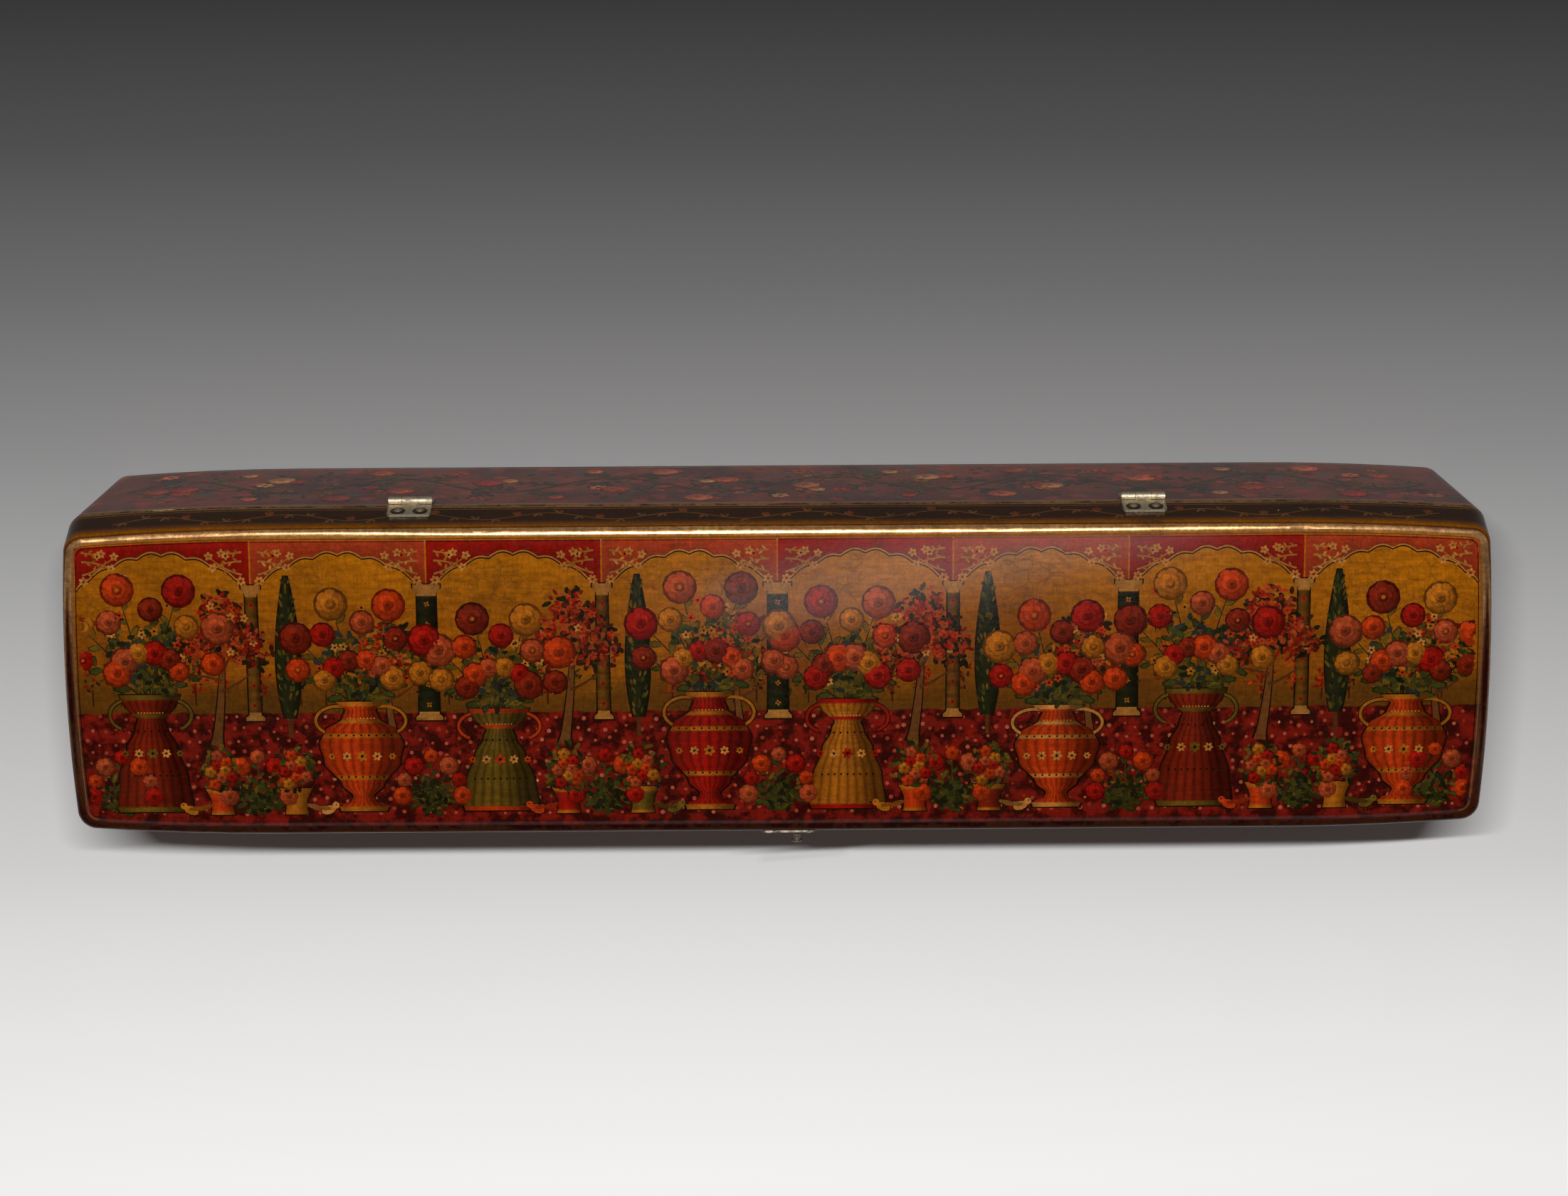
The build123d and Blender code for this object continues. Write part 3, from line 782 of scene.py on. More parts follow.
class PENBOX_OT_face_ground(Operator):
    """Lays the smooth painted ground on the lid: amber sky, olive hills and a maroon lawn"""

    bl_idname = "penbox.face_ground"
    bl_label = "Paint the lid's ground"

    def execute(self, context):
        lacquer, paint, _ = settings()
        sheet = bmesh.new()
        bmesh.ops.create_grid(sheet, x_segments=176, y_segments=44, size=1)
        for vertex in sheet.verts:
            x, y = self.stretched(vertex.co.x, vertex.co.y)
            vertex.co = (x * MM, y * MM, face_height(x, y) * MM + paint.ground_lift)
        extruded = bmesh.ops.extrude_face_region(sheet, geom=sheet.faces[:], use_keep_orig=True)
        lower = [g for g in extruded["geom"] if isinstance(g, bmesh.types.BMVert)]
        bmesh.ops.translate(sheet, verts=lower, vec=(0, 0, -0.3 * MM))
        bmesh.ops.recalc_face_normals(sheet, faces=sheet.faces[:])
        piece = new_piece("lid_painted_ground", sheet)
        for face in piece.data.polygons:
            face.use_smooth = abs(face.normal.z) > 0.9
        cover(piece, self.ground_material(lacquer))
        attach(piece, "lid")
        return {"FINISHED"}

    def stretched(self, s, t):
        """Stretches a point of a square, -1 to 1 both ways, to the panel's outline with its round corners."""
        x = s * panel_half_length(t * PANEL_WIDTH)
        y = t * panel_half_width(x)
        over_x = abs(x) - (panel_half_length(y) - PANEL_CORNER)
        over_y = abs(y) - (panel_half_width(x) - PANEL_CORNER)
        if over_x > 0 and over_y > 0:
            pull = max(over_x, over_y) / math.hypot(over_x, over_y)
            x -= math.copysign(over_x * (1 - pull), x)
            y -= math.copysign(over_y * (1 - pull), y)
        return x, y

    def ground_material(self, lacquer):
        material, place, shader = fresh_material("Garden ground")
        up = parts(place)[1]
        sway = (noise(place, 0.035, 2) - 0.5) * 16
        sky = mixed(up.over(6, 34), lacquer.amber_deep, lacquer.amber)
        sky = mixed(noise(place, 0.022, 4).over(0.35, 0.65, 0, 0.5), sky, toned(lacquer.amber, 1.3))
        ground = mixed((up + sway).over(-4.5, 5, 1, 0), sky, lacquer.olive)
        brush = noise(place, 0.5, 5, (0.5, 1.4, 1)).over(0.35, 0.7, 0, 0.4)
        ground = mixed(brush, ground, toned(lacquer.amber_deep, 0.6))
        lawn = mixed(noise(place, 0.24, 5, roughness=0.6).over(0.42, 0.6), lacquer.maroon, LAWN_RED)
        edge = up + noise(place, 0.25, 3) * 1.6
        finish_lacquer(shader, place, mixed(edge.over(-6.9, -6.4, 1, 0), ground, lawn), 0.7, 0.25)
        return material


class PENBOX_OT_face_arcade(Operator):
    """Paints the arches, their columns and the thin border lines on the lid"""

    bl_idname = "penbox.face_arcade"
    bl_label = "Paint the arcade"

    def execute(self, context):
        lacquer, paint, _ = settings()
        layer = PaintLayer(paint.seed)
        gold = tuple(lacquer.gold)
        middles, pitch = bay_middles(paint)
        for bay, middle in middles:
            self.arch(layer, middle, pitch, (RED, TILE)[bay % 2], gold, bay)
        for post in range(1, paint.bays):
            self.column(layer, -ARCADE + pitch * post, gold, post % 2)
        self.border(layer, gold)
        layer.laid("lid_painted_arcade", FaceSurface(paint), "lid")
        return {"FINISHED"}

    def arch(self, layer, x, pitch, colour, gold, bay):
        half = pitch / 2 - 0.2

        def curve(u):
            """Lower edge of the spandrel: a pointed arch of seven cusps."""
            a = abs(u)
            rise = 1 - a ** 1.7
            return 23.5 + 9.5 * rise ** 0.75 + 1.1 * abs(math.sin(a * math.pi * 3.5)) * (1 - 0.4 * a)

        def filling(u, v):
            t = (v + 1) / 2
            px = x + u * half
            top = panel_half_width(px) - 0.9
            low = min(curve(u), top - 0.15)
            tone = blended(toned(colour, 0.55), toned(colour, 1.15), t * 0.8 + 0.2 * math.cos(u * 9) ** 2)
            return (px, low + (top - low) * t), tone

        def edge(up):
            def line(t):
                u = 2 * t - 1
                px = x + u * half
                return px, min(curve(u), panel_half_width(px) - 1.0) + up

            return line

        layer.grid(56, 4, 0, filling)
        layer.ribbon(edge(0), 0.75, 0.6, BLACK, 64)
        layer.ribbon(edge(0.15), 0.38, 1.1, toned(gold, 0.7), 64)
        # A scroll with leaves and small flowers fills each spandrel.
        for side in (-1, 1):
            foot = x + side * (half - 1.8)
            turn, leaves = math.pi if side > 0 else 0.0, (OCHRE, CREAM)[bay % 2]
            for k, (reach, up, bend) in enumerate(((9.5, 28.2, 1.1), (7.5, 31.8, -0.9), (5.0, 34.4, 0.7))):
                stem = (foot, up - k * 0.2, turn + side * 0.25 * (k - 1), reach, 1.5, toned(gold, 0.6))
                layer.sprig(*stem, leaves, CREAM, side * bend * -0.5, 5, 1.25)
            layer.star(foot - side * 0.3, 26.6, 2.5, 1.3, CREAM, BRICK, 6)
            layer.star(foot - side * 3.9, 33.0, 2.5, 1.1, ORANGE if bay % 2 else CREAM, BLACK, 5)

    def column(self, layer, x, gold, dark):
        shaft, width, flower = (DARK_GREEN, SHAFT)[dark], (2.5, 1.5)[dark], (OCHRE, RED)[dark]
        low, high = COLUMN_FOOT, COLUMN_FOOT + 35

        def profile(t):
            return width + 0.9 if t < 0.035 or t > 0.95 else width * (1.02 - 0.1 * t)

        def tint(t, s):
            if t < 0.05 or t > 0.93:
                return toned(gold, 0.5 + 0.2 * (1 - abs(s)))
            bands = 0.7 if int(t * 22) % 2 else 1.0
            return toned(shaft, (1.3 - 0.8 * abs(s + 0.25)) * bands)

        layer.upright(x, low - 0.4, high + 0.3, lambda t: profile(t) + 0.35, 0.2, BLACK, 30, 2)
        layer.upright(x, low, high, profile, 1.5, tint, 44, 4)
        for up in (low + 1.9, low + 17, high - 2.6):
            layer.ribbon(lambda t, up=up: (x - width + 2 * width * t, up), 0.5, 2, toned(gold, 0.65), 4)
        for step in range(6):
            layer.star(x, low + 4 + step * 5.2, 2.5, 0.8, flower, BLACK, 4)

    def border(self, layer, gold):
        """Thin gold and dark lines that follow the panel's edge, along its ends and its far side."""
        for inset, width, colour in ((0.55, 0.3, toned(gold, 0.4)), (1.2, 0.22, BLACK)):
            def long_line(t):
                x = (2 * t - 1) * LINE_LENGTH
                return x, panel_half_width(x) - inset

            for side in (-1, 1):
                def end_line(t):
                    y = (2 * t - 1) * LINE_WIDTH
                    return side * (panel_half_length(y) - inset), y

                if side > 0:
                    layer.ribbon(long_line, width * 0.7, 3.6, toned(colour, 0.5), 120)
                layer.ribbon(end_line, width, 3.6, colour, 40)
                for up in (-1, 1):
                    def corner(t):
                        x = panel_half_length(33.8) - LINE_CORNER
                        y = panel_half_width(LINE_LENGTH) - LINE_CORNER
                        x, y = around(x, y, t * math.pi / 2, LINE_CORNER - inset)
                        return side * x, up * y

                    layer.ribbon(corner, width, 3.6, colour, 8)


class PENBOX_OT_face_trees(Operator):
    """Paints the trees, cypresses and distant shrubs on the lid"""

    bl_idname = "penbox.face_trees"
    bl_label = "Paint the trees"

    def execute(self, context):
        _, paint, _ = settings()
        layer = PaintLayer(paint.seed + 1, on_panel)
        dice = layer.dice
        # Distant shrubs with red and olive leaves along the hills
        x = -172.0
        while x < 172:
            tall = dice.uniform(2.2, 4.6)
            hue = dice.choice(((RED, BRICK, ORANGE), (OLIVE, GREEN, DARK_GREEN), (BRICK, OLIVE, UMBER)))
            layer.ribbon(lambda t: (x, -5.5 + t * (tall + 2)), 0.45, 0, UMBER, 2)
            layer.foliage(x, -1.5 + tall * 0.6, tall * 0.62, tall, 0.3, hue, 26, 1.25)
            x += dice.uniform(5.5, 10.5)
        middles, pitch = bay_middles(paint)
        for bay, middle in middles:
            if bay % 2:
                self.cypress(layer, middle - pitch * 0.3)
                self.tree(layer, middle + pitch * 0.3, (OLIVE, GREEN, OCHRE, RED), bay, 0.82)
            else:
                self.tree(layer, middle + pitch * 0.27, (RED, ORANGE, BRICK, PINK), bay)
        layer.laid("lid_painted_trees", FaceSurface(paint), "lid")
        return {"FINISHED"}

    def tree(self, layer, x, colours, bay, size=1.0):
        """A leaning trunk with branches, a mass of leaves and blossoms."""
        dice, lean, tall = layer.dice, (-1) ** bay * 0.16, 26 * size

        def trunk(t):
            return x + lean * tall * (t - t * t * 0.4), TREE_FOOT + tall * t

        for width, rank, colour in ((2.6 * size, 2, BLACK), (1.9 * size, 2.5, BARK)):
            def girth(t):
                return width * (1.25 - 0.8 * t + 0.5 * max(0, 0.1 - t) * 8)

            layer.ribbon(trunk, girth, rank, colour, 12, 2)
        top_x, top_y = trunk(1)
        for k, (turn, reach) in enumerate(((0.35, 9), (2.75, 9), (1.0, 11), (2.1, 11), (1.57, 10))):
            layer.curve_stem(*trunk(0.55 + 0.1 * k), turn, reach * size, 0.4, 2.5, BRANCH, 0.9)
        for dx, dy, wide in ((0, 3, 9), (-6, -1.5, 6), (6.5, -1, 6), (0, 8.5, 6)):
            cx, cy = top_x + dx * size, top_y + dy * size
            shade = (toned(DARK_GREEN, 0.8), UMBER)
            layer.foliage(cx, cy, wide * size, wide * 0.8 * size, 3, shade, 36, 2.4)
            layer.foliage(cx - 0.4, cy + 0.5, wide * 0.92 * size, wide * 0.74 * size, 4, colours, 62, 1.7)
        for _ in range(12):
            angle, reach = dice.uniform(0, 6.28), 8.5 * math.sqrt(dice.random()) * size
            blossom = around(top_x, top_y + 3, angle, reach, 0.9)
            layer.star(*blossom, 5.5, 1.15, dice.choice((CREAM, PINK, ORANGE)), BRICK)

    def cypress(self, layer, x):
        dice, low = layer.dice, CYPRESS_FOOT

        def half(t):
            return 3.6 * math.sin(math.pi * min(1, t * 0.86 + 0.1)) ** 0.8 * (1 - t * 0.35)

        def shaded(t, s):
            return toned(DARK_GREEN, 1.35 - 0.7 * abs(s + 0.3))

        layer.ribbon(lambda t: (x, low - 5 + 6 * t), 1.0, 2, CYPRESS_BARK, 3)
        layer.upright(x, low, 28, lambda t: half(t) + 0.3, 2.2, BLACK, 26, 2)
        layer.upright(x, low, 27.6, half, 2.8, shaded, 26, 4)
        for _ in range(95):
            t, s = dice.random(), dice.uniform(-0.85, 0.85)
            rank = 3.4 + dice.random() * 0.6
            colour = toned(dice.choice((GREEN, OLIVE, DARK_GREEN)), dice.uniform(0.7, 1.3))
            layer.leaf(x + s * half(t), low + 36 * t, rank, colour, 1.7, 0.55, 1.57 - s * 0.6)


class PENBOX_OT_face_urns(Operator):
    """Paints the tall urns and their bouquets on the lid"""

    bl_idname = "penbox.face_urns"
    bl_label = "Paint the urns"

    # Heights and half widths of the two kinds of urn, as shares of the whole
    WAISTED = (
        (0, 0.95), (0.05, 1.0), (0.3, 0.9), (0.55, 0.66), (0.72, 0.42),
        (0.8, 0.34), (0.84, 0.5), (0.9, 0.66), (0.95, 0.74), (1.0, 0.8),
    )
    BELLIED = (
        (0, 0.55), (0.05, 0.6), (0.09, 0.3), (0.14, 0.24), (0.24, 0.5), (0.45, 0.9),
        (0.62, 1.0), (0.74, 0.86), (0.85, 0.44), (0.93, 0.36), (0.97, 0.52), (1.0, 0.58),
    )
    # Each flower's lean and reach in a bouquet
    WAYS = (
        (-1.05, 0.62), (-0.75, 0.85), (-0.45, 0.75), (-0.25, 1.0), (0.05, 0.8),
        (0.3, 1.0), (0.5, 0.72), (0.8, 0.85), (1.1, 0.6),
    )

    def execute(self, context):
        _, paint, _ = settings()
        layer, flowers = PaintLayer(paint.seed + 2, on_panel), PaintLayer(paint.seed + 4, on_panel)
        dresses = (
            (ORANGE, OCHRE), (BRICK, OLIVE), (ORANGE, CREAM), (OCHRE, RED), (RED, OCHRE), (OLIVE, ORANGE)
        )
        middles, _ = bay_middles(paint)
        for bay, middle in middles:
            middle -= 4.5 * (-1) ** bay
            tall, wide = 31 - 2 * (bay % 3), 9.6 + (bay % 2)
            self.urn(layer, middle, tall, wide, *dresses[(bay * 5 + 1) % 6], bay % 2)
            self.bouquet(flowers, middle, tall + URN_FOOT, wide, bay)
            self.pot(layer, middle + 17 * (-1) ** bay, dresses[(bay + 2) % 6][0], bay)
        layer.laid("lid_painted_urns", FaceSurface(paint), "lid")
        flowers.laid("lid_painted_bouquets", FaceSurface(paint), "lid")
        return {"FINISHED"}

    def urn(self, layer, x, tall, wide, main, trim, bellied):
        low, points = URN_FOOT, self.BELLIED if bellied else self.WAISTED

        def profile(t):
            for (a, low_share), (b, high_share) in zip(points, points[1:]):
                if t <= b:
                    share = (t - a) / (b - a)
                    share = share * share * (3 - 2 * share)
                    return wide * (low_share + (high_share - low_share) * share)
            return wide * points[-1][1]

        def tint(t, s):
            light = max(0.3, 1.2 - 0.95 * abs(s + 0.3) ** 1.3)
            belts = bellied and (0.3 < t < 0.33 or 0.68 < t < 0.71)
            if t < 0.05 or t > 0.96 or 0.81 < t < 0.84 or belts:
                return toned(trim, light)
            fluted = round((s + 1) * 12) % 3 == 0
            return toned(toned(main, 0.5) if fluted else main, light)

        # Handles, outline, body and painted flowers
        for side in (-1, 1):
            def handle(t):
                angle = -1.1 + 3.2 * t
                out = wide * 0.55 + wide * 0.52 * math.cos(angle)
                return x + side * out, low + tall * (0.83 + 0.13 * math.sin(angle))

            layer.ribbon(handle, 1.25, 2, BLACK, 14)
            layer.ribbon(handle, 0.75, 2.6, toned(trim, 0.9), 14)
        layer.upright(x, low - 0.35, low + tall + 0.3, lambda t: profile(t) + 0.4, 2.4, BLACK, 44, 2)
        layer.upright(x, low, low + tall, profile, 3, tint, 60, 24)
        for k in range(5):
            s, colour = (k - 2) * 0.36, CREAM if k % 2 else trim
            layer.star(x + s * wide, low + tall * 0.505, 4, 1.5 * (1 - abs(s) * 0.5), colour, BLACK, 6)
        for k in range(9):
            s = (k - 4) * 0.2 * wide
            for out, up, colour, radius in (
                (0.84, 0.315, BLACK, 0.3), (0.9, 0.695, BLACK, 0.3), (0.4, 0.85, CREAM, 0.22)
            ):
                layer.spot(x + s * out, low + tall * up, 4, colour, radius)

    def bouquet(self, layer, x, low, wide, bay):
        dice, tall, ends = layer.dice, 37 - 2.5 * (bay % 3), []
        hues = (RED, ORANGE, OCHRE, BRICK, PINK)
        for k, (off, reach) in enumerate(self.WAYS):
            turn, long, leaves = math.pi / 2 - off * 0.75, tall * reach * 0.78, (GREEN, OLIVE)[k % 2]
            stem = (x + off * 1.5, low - 1, turn, long, 2, DARK_GREEN)
            ends.append(layer.sprig(*stem, leaves, None, -off * 0.35, 8, 3.4)(1))
        greens = (GREEN, DARK_GREEN, OLIVE, BLUE)
        layer.foliage(x, low + tall * 0.26, wide * 0.95, tall * 0.24, 3.5, greens, 90, 2.6)
        for k, end in enumerate(ends):
            radius, heart = 4.3 if k % 2 else 3.2, None if k % 3 else OCHRE
            layer.rose(*end, 5 + 0.1 * k, radius, hues[(k * 2 + bay) % 5], heart)
        for k in range(6):
            angle = 0.35 + k * 0.5
            px, py = x + math.cos(angle) * wide * 0.85, low + 3.5 + math.sin(angle) * 7.5
            layer.rose(px, py, 5 + 0.1 * k, dice.uniform(2.6, 3.8), hues[(k * 2 + bay + 1) % 5])
        for _ in range(14):
            px, py = x + dice.uniform(-1.15, 1.15) * wide, low + dice.uniform(0.15, 0.9) * tall * 0.8
            layer.star(px, py, 4.6, 1.2, dice.choice((CREAM, OCHRE, ORANGE)), BLACK, 5)

    def pot(self, layer, x, colour, bay):
        """A low pot with a round bush."""
        low = POT_FOOT

        def profile(t):
            return 3.0 + 1.2 * t - 0.9 * math.sin(math.pi * t)

        def tint(t, s):
            return toned(OCHRE if t > 0.84 or t < 0.12 else colour, 1.3 - 0.8 * abs(s + 0.3))

        layer.upright(x, low - 0.3, low + 7.3, lambda t: profile(t) + 0.3 + 0.1 * t, 2.4, BLACK, 10, 2)
        layer.upright(x, low, low + 7, profile, 3, tint, 14, 6)
        layer.foliage(x, low + 12, 5.0, 5.6, 3.6, (DARK_GREEN, GREEN, OLIVE), 90, 2.0)
        for k in range(8):
            bloom = around(x, low + 12, k * 2.4, 1.0 + 0.42 * k, 1.1)
            layer.rose(*bloom, 5, 1.7, (OCHRE, RED, PINK, ORANGE)[(k + bay) % 4], None, 5)


class PENBOX_OT_face_lawn(Operator):
    """Paints the dotted lawn, its rose bushes and the birds on the lid"""

    bl_idname = "penbox.face_lawn"
    bl_label = "Paint the lawn"

    def execute(self, context):
        _, paint, _ = settings()
        layer = PaintLayer(paint.seed + 3, on_panel)
        dice = layer.dice
        # Pale dots in loose rows over the maroon
        for row in range(9):
            x, y = -174 + (row % 2) * 1.6, -8.8 - row * 3.1
            while x < 174:
                px, py = x + dice.uniform(-0.9, 0.9), y + dice.uniform(-0.8, 0.8)
                if abs(px) < panel_half_length(py) - 2 and abs(py) < panel_half_width(px) - 1.8:
                    layer.spot(px, py, 0, dice.choice(LAWN_DOTS), dice.uniform(0.36, 0.62), 6)
                x += 3.2
        middles, pitch = bay_middles(paint)
        for bay in range(paint.bays + 1):
            x = -ARCADE + pitch * bay
            if bay in (0, paint.bays):
                x -= math.copysign(9.5, x)
            self.bush(layer, x, bay)
        for bay, middle in middles:
            facing, up = (-1) ** bay, 15.5 - 3 * (bay % 3)
            flying, pecking = (ORANGE, BLUE, OCHRE, BRICK)[bay % 4], (OCHRE, CREAM, ORANGE, OLIVE)[bay % 4]
            self.bird(layer, middle - facing * 14.5, up, facing, 1.0, flying)
            self.bird(layer, middle + facing * 4.5, -33.2, -facing, 0.8, pecking)
        layer.laid("lid_painted_lawn", FaceSurface(paint), "lid")
        return {"FINISHED"}

    def bush(self, layer, x, bay):
        for k in range(7):
            off, leaves = k - 3, (GREEN, OLIVE, DARK_GREEN)[k % 3]
            turn, tall = math.pi / 2 + off * 0.32, 15 - abs(off) * 1.6
            stem = (x + off * 0.5, BUSH_FOOT, turn, tall, 1, GREEN)
            path = layer.sprig(*stem, leaves, None, off * 0.1, 7, 2.5)
            layer.rose(*path(1), 3, 2.0 if k % 2 else 2.6, (RED, PINK, ORANGE)[(k + bay) % 3])
        layer.foliage(x, BUSH_FOOT + 4, 4.5, 3.6, 2, (DARK_GREEN, GREEN), 40, 2.2)

    def bird(self, layer, x, y, facing, size, colour):
        """A small bird: tail, body, wing, head, beak, eye and legs."""
        ahead, back = (0.0, math.pi) if facing > 0 else (math.pi, 0.0)
        wing, shade, black = 1.35 * size, toned(colour, 0.5), BLACK

        def at(forward, up):
            return x + facing * forward * size, y + up * size

        layer.leaf(*at(-1.2, 0), 4, toned(colour, 0.45), 6.2 * size, 1.5 * size, back - facing * 0.3)
        layer.spot(x, y, 4.4, black, 2.75 * size, 10, 0.66, facing * 0.35)
        layer.spot(x, y, 5, colour, 2.45 * size, 10, 0.6, facing * 0.35)
        layer.leaf(*at(0.9, 0.3), 5.5, shade, 3.9 * size, wing, back - facing * 0.15)
        layer.spot(*at(2.3, 1.5), 5.6, toned(colour, 1.25), 1.15 * size, 8)
        layer.leaf(*at(3.1, 1.5), 5.4, black, 1.6 * size, 0.5 * size, ahead)
        layer.spot(*at(2.5, 1.75), 6.2, black, 0.25 * size, 6)
        for leg in (-0.5, 0.6):
            layer.ribbon(lambda t: (x + leg * size, y - 1.2 * size - 1.7 * size * t), 0.28, 4, black, 2)


class PENBOX_OT_side_flowers(Operator):
    """Paints roses, leaves and buds round the body, and a thin gold scroll round the lid's band"""

    bl_idname = "penbox.side_flowers"
    bl_label = "Paint the sides"

    def execute(self, context):
        lacquer, paint, _ = settings()
        sides = (
            ("front", LONG_SIDE, (0, -1, 0)), ("back", LONG_SIDE, (0, 1, 0)),
            ("left", SHORT_SIDE, (-1, 0, 0)), ("right", SHORT_SIDE, (1, 0, 0)),
        )
        for number, (side, half, outward) in enumerate(sides):
            flowers, line = PaintLayer(paint.seed + 10 + number), PaintLayer(paint.seed + 20 + number)
            self.garland(flowers, half)
            self.scroll(line, half, tuple(lacquer.gold), side == "front")
            for layer, body in ((flowers, "body"), (line, "lid")):
                surface = WallSurface(outward, f"{body}_shell", paint)
                layer.laid(f"{body}_painted_{side}", surface, body, "Side paint")
        return {"FINISHED"}

    def garland(self, layer, half):
        """A winding stem with big blossoms in its bends, and leaves and buds between them."""
        dice, waves = layer.dice, max(1, round(half / 28))

        def main(t):
            x = (2 * t - 1) * half
            return x, GARLAND + 9.5 * math.sin(x / half * waves * math.pi)

        layer.ribbon(main, 1.3, 0, BLACK, waves * 24)
        layer.ribbon(main, 0.7, 0.5, VINE, waves * 24)
        count = waves * 10
        for k in range(count + 1):
            t, side = k / count, 1 if k % 2 else -1
            x, y = main(t)
            (ahead_x, ahead_y), (past_x, past_y) = main(min(1, t + 0.002)), main(max(0, t - 0.002))
            reach = min(15.0, (GARLAND_HIGH - y if side > 0 else y - 6) * 0.85)
            turn = math.atan2(ahead_y - past_y, ahead_x - past_x) + side * dice.uniform(0.9, 1.3)
            if abs(x + math.cos(turn) * reach) > half:
                turn = math.pi - turn
            leaves = toned(dice.choice((GREEN, OLIVE, BLUE, OLIVE)), 1.5)
            layer.sprig(x, y, turn, reach, 1, SIDE_STEM, leaves, None, side * 0.5, 6, 3.4)
            x, y = around(x, y, turn + side * 0.25, reach * 0.97)
            x, y = max(-half, min(half, x)), max(7.0, min(45.5, y))
            bloom = dice.choice(SIDE_BLOOMS)
            if k % 3 == 0:
                layer.rose(x, y, 3, 4.0, bloom, OCHRE, 11)
            elif k % 3 == 1:
                layer.star(x, y, 3, 2.6, bloom, BLACK, 6)
            else:
                layer.rose(x, y, 3, 2.4, bloom, None, 7)
        for _ in range(waves * 46):
            x, y = dice.uniform(-half, half), dice.uniform(GARLAND_LOW, GARLAND_HIGH)
            rank = 0.2 + dice.random() * 0.6
            colour = toned(dice.choice((DARK_GREEN, BLUE, GREEN, BRICK)), dice.uniform(0.9, 1.9))
            layer.leaf(x, y, rank, colour, dice.uniform(2, 4), 1.3, dice.uniform(0, 6.28))
        for _ in range(waves * 9):
            x, y = dice.uniform(-half, half), dice.uniform(GARLAND_LOW, GARLAND_HIGH)
            layer.star(x, y, 2, dice.uniform(0.9, 1.5), dice.choice((CREAM, OCHRE, PINK)), BLACK, 5)

    def scroll(self, layer, half, gold, shy):
        """A wavy line with leaves and buds, which leaves room for the catch if it's shy."""

        def main(t):
            x = (2 * t - 1) * (half - 2)
            return x, SCROLL + 1.9 * math.sin(x / 5.2)

        layer.ribbon(main, 0.32, 0, toned(gold, 0.36), int(half * 3))
        count = int(half / 2.6)
        for k in range(count):
            x, y = main((k + 0.5) / count)
            if shy and abs(x) < 9:
                continue
            side = 1 if k % 2 else -1
            layer.leaf(x, y, 0.5, toned(gold, 0.32), 2.4, 0.8, side * 1.0)
            layer.leaf(x, y, 0.5, toned(gold, 0.27), 2.0, 0.7, math.pi - side * 1.1)
            if k % 4 == 0:
                layer.star(x, y + side * 1.6, 1, 1.1, SCROLL_BUD, toned(OCHRE, 0.6), 5)


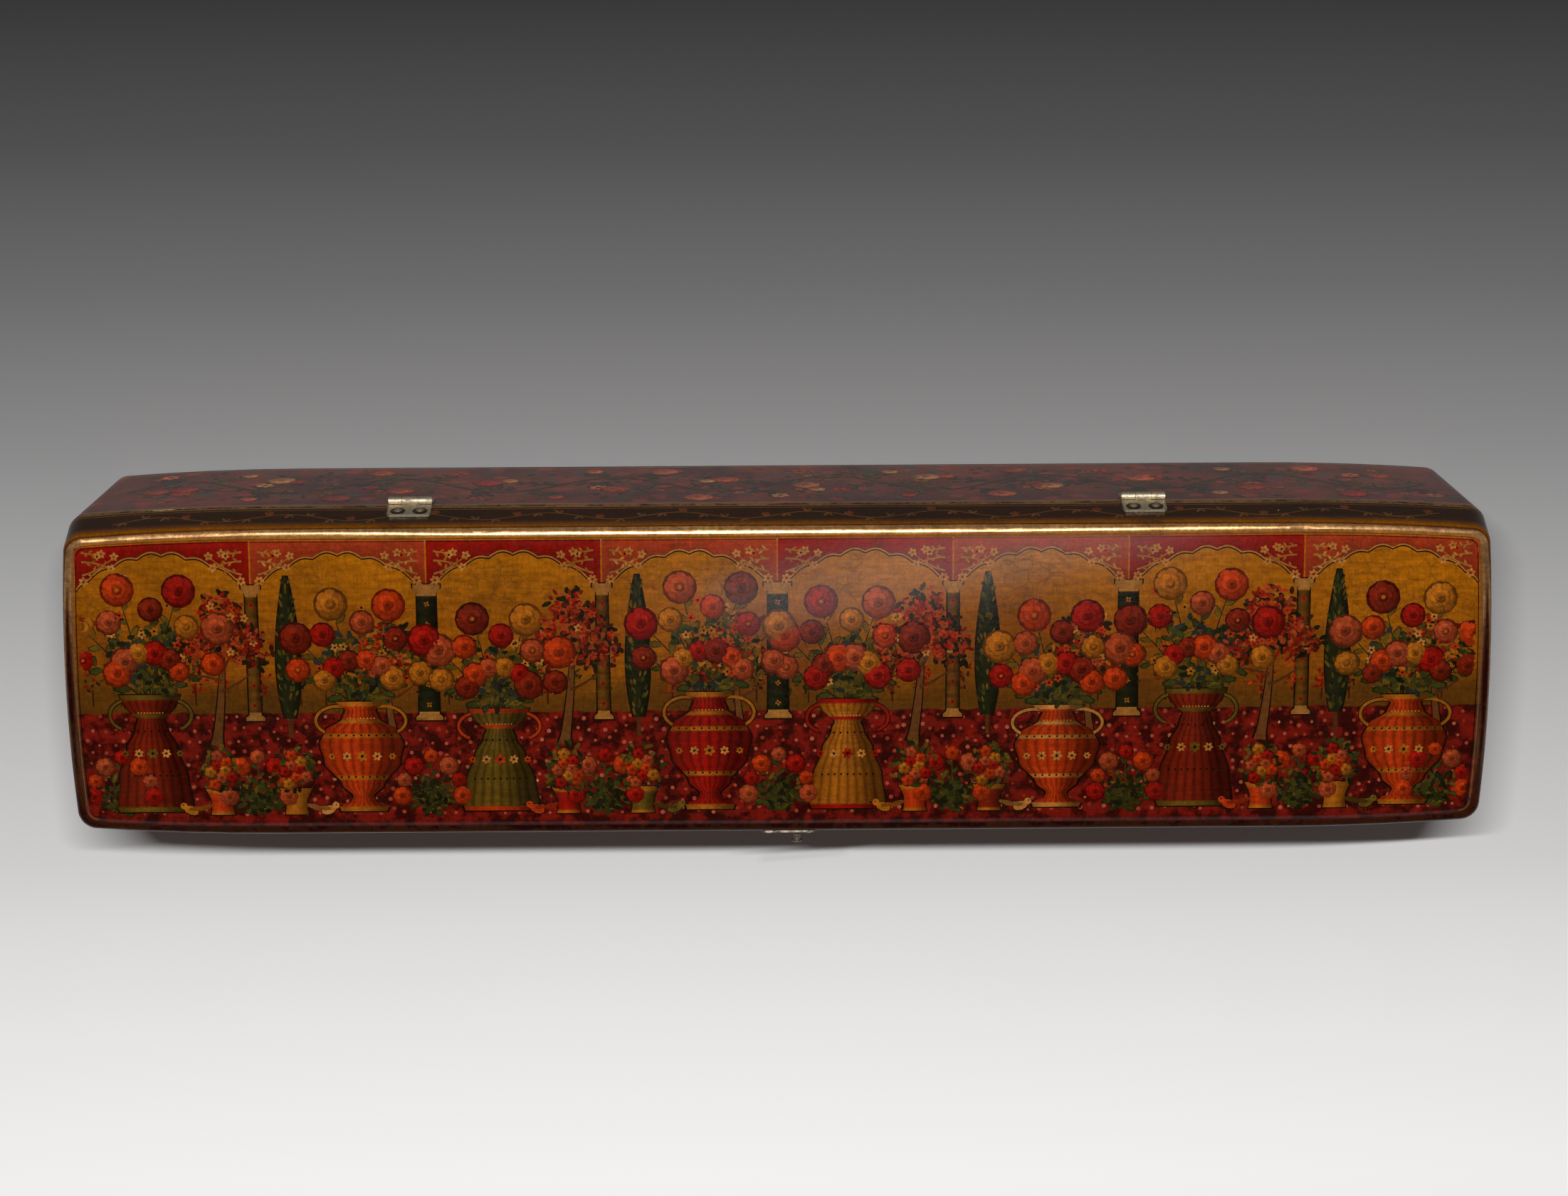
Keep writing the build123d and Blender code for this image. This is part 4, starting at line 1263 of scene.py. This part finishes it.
class PENBOX_OT_studio(Operator):
    """Sets the floor, the lights and the camera"""

    bl_idname = "penbox.studio"
    bl_label = "Set the studio"

    # Painted shade on the floor: its grey at distances in millimetres, from the front towards the back,
    # darkening towards the back as if the light fell off there
    PAINTED_FALLOFF = (
        (-162, 0.97), (-120, 0.85), (-88, 0.735), (-70, 0.64), (44, 0.248),
        (52, 0.225), (90, 0.132), (127, 0.069), (165, 0.031),
    )
    FALLOFF_HALF = 200.0

    def execute(self, context):
        _, _, studio = settings()
        scene = context.scene
        scene.view_settings.view_transform = "Standard"
        self.floor(studio)
        self.air(scene, studio)
        for name, power, size, colour, place, target in (
            ("Key", studio.key_power, (0.54, 0.02), (1, 1, 1), (-0.04, 0.502, 1.4), (0, 0, 0)),
            ("Sheen", studio.sheen_power, (0.36, 0.1), (1, 0.93, 0.9), (0.12, -0.17, 1.47), (0.03, 0, 0.066)),
        ):
            self.lamp(scene, name, power, size, colour, place, target)
        self.camera(scene, studio)
        return {"FINISHED"}

    def floor(self, studio):
        sheet = bmesh.new()
        bmesh.ops.create_grid(sheet, x_segments=24, y_segments=24, size=studio.floor_size / 2)
        floor = new_piece("studio_floor", sheet)
        material, place, shader = fresh_material("Studio paper")
        # The floor's colour carries painted shade: a grey ramp that darkens towards the back in place of
        # light falling off.
        share = maths("DIVIDE", parts(place)[1] + self.FALLOFF_HALF, 2 * self.FALLOFF_HALF, clamp=True)
        ramp = put(place.tree, "ShaderNodeValToRGB", Fac=share)
        elements = ramp.color_ramp.elements
        elements.remove(elements[1])
        for index, (where, shade) in enumerate(self.PAINTED_FALLOFF):
            position = (where + self.FALLOFF_HALF) / (2 * self.FALLOFF_HALF)
            element = elements.new(position) if index else elements[0]
            element.position, element.color = position, (shade, shade, shade, 1)
        wire(shader, Base_Color=Field(ramp.outputs["Color"]), Roughness=0.8, Specular_IOR_Level=0.1)
        cover(floor, material)

    def air(self, scene, studio):
        """Even light all round. Gloss sees a dark ceiling and paler walls, so that the varnish stays deep."""
        world = bpy.data.worlds.new("Studio air")
        scene.world = world
        world.use_nodes = True
        tree = world.node_tree
        tree.nodes.clear()

        def background(colour, strength):
            return Field(put(tree, "ShaderNodeBackground", Color=colour, Strength=strength).outputs[0])

        def chosen(ray, first, second):
            return Field(put(tree, "ShaderNodeMixShader", Fac=path[ray], i1=first, i2=second).outputs[0])

        path = fields(put(tree, "ShaderNodeLightPath"))
        lift = parts(fields(put(tree, "ShaderNodeTexCoord"))["Generated"])[2]
        mirrored = background(grey(lift.over(0.02, 0.75, 0.3, 0.006)), 1.0)
        even = background((1, 0.84, 0.78, 1), studio.fill_power)
        unseen = chosen("Is Glossy Ray", even, mirrored)
        seen = background((0.55, 0.55, 0.56, 1), 1.0)
        put(tree, "ShaderNodeOutputWorld", Surface=chosen("Is Camera Ray", unseen, seen))

    def lamp(self, scene, name, power, size, colour, place, target):
        """An oblong lamp that shines from a place at a target."""
        data = bpy.data.lights.new(name, "AREA")
        data.shape, data.energy, data.color = "RECTANGLE", power, colour
        data.size, data.size_y = size
        lamp = bpy.data.objects.new(name, data)
        lamp.location = place
        lamp.rotation_euler = (Vector(place) - Vector(target)).to_track_quat("Z", "Y").to_euler()
        scene.collection.objects.link(lamp)

    def camera(self, scene, studio):
        """Looks down on the lid from above the back, with the lid's middle where the photograph has it."""
        tilt = studio.tilt
        back = Vector((0, math.sin(tilt), math.cos(tilt)))
        up = Vector((0, math.cos(tilt), -math.sin(tilt)))
        base = Matrix((Vector((1, 0, 0)), up, back)).transposed()
        focal = studio.lens / 36 * PHOTO_WIDTH
        right, down = LID_MIDDLE_X - PHOTO_WIDTH / 2, LID_MIDDLE_Y - PHOTO_HEIGHT / 2
        seen = Vector((right / focal, -down / focal, -1)).normalized()
        turn = seen.rotation_difference(Vector((0, 0, -1))).to_matrix()
        rolled = Matrix.Rotation(-studio.roll, 3, back) @ base @ turn
        data = bpy.data.cameras.new("Camera")
        data.lens, data.sensor_width, data.sensor_fit = studio.lens, 36, "HORIZONTAL"
        data.clip_start, data.clip_end = 0.01, 50
        camera = bpy.data.objects.new("Camera", data)
        place = Vector((0, 0, 0.0662)) + back * studio.distance
        camera.matrix_world = Matrix.Translation(place) @ rolled.to_4x4()
        scene.collection.objects.link(camera)
        scene.camera = camera


class PENBOX_PT_panel(Panel):
    """Lists the steps that dress the pen box"""

    bl_label = "Pen Box"
    bl_idname = "PENBOX_PT_panel"
    bl_space_type = "VIEW_3D"
    bl_region_type = "UI"
    bl_category = "Pen Box"

    def draw(self, context):
        for group_name, _ in GROUPS:
            group, box = getattr(context.scene, group_name), self.layout.box()
            for name in group.__annotations__:
                box.prop(group, name)
        for operator in STEPS:
            self.layout.operator(operator.bl_idname)


GROUPS = (
    ("pen_box_lacquer", LacquerSettings),
    ("pen_box_paint", PaintSettings),
    ("pen_box_studio", StudioSettings),
)
STEPS = (
    PENBOX_OT_lacquer,
    PENBOX_OT_metal,
    PENBOX_OT_face_ground,
    PENBOX_OT_face_arcade,
    PENBOX_OT_face_trees,
    PENBOX_OT_face_urns,
    PENBOX_OT_face_lawn,
    PENBOX_OT_side_flowers,
    PENBOX_OT_studio,
)


def register():
    for name, group in GROUPS:
        bpy.utils.register_class(group)
        setattr(bpy.types.Scene, name, PointerProperty(type=group))
    for step in (*STEPS, PENBOX_PT_panel):
        bpy.utils.register_class(step)


def unregister():
    for step in (PENBOX_PT_panel, *reversed(STEPS)):
        bpy.utils.unregister_class(step)
    for name, group in reversed(GROUPS):
        delattr(bpy.types.Scene, name)
        bpy.utils.unregister_class(group)


def main():
    register()
    for step in STEPS:
        area, name = step.bl_idname.split(".")
        getattr(getattr(bpy.ops, area), name)()
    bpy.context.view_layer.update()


if __name__ == "__main__":
    main()
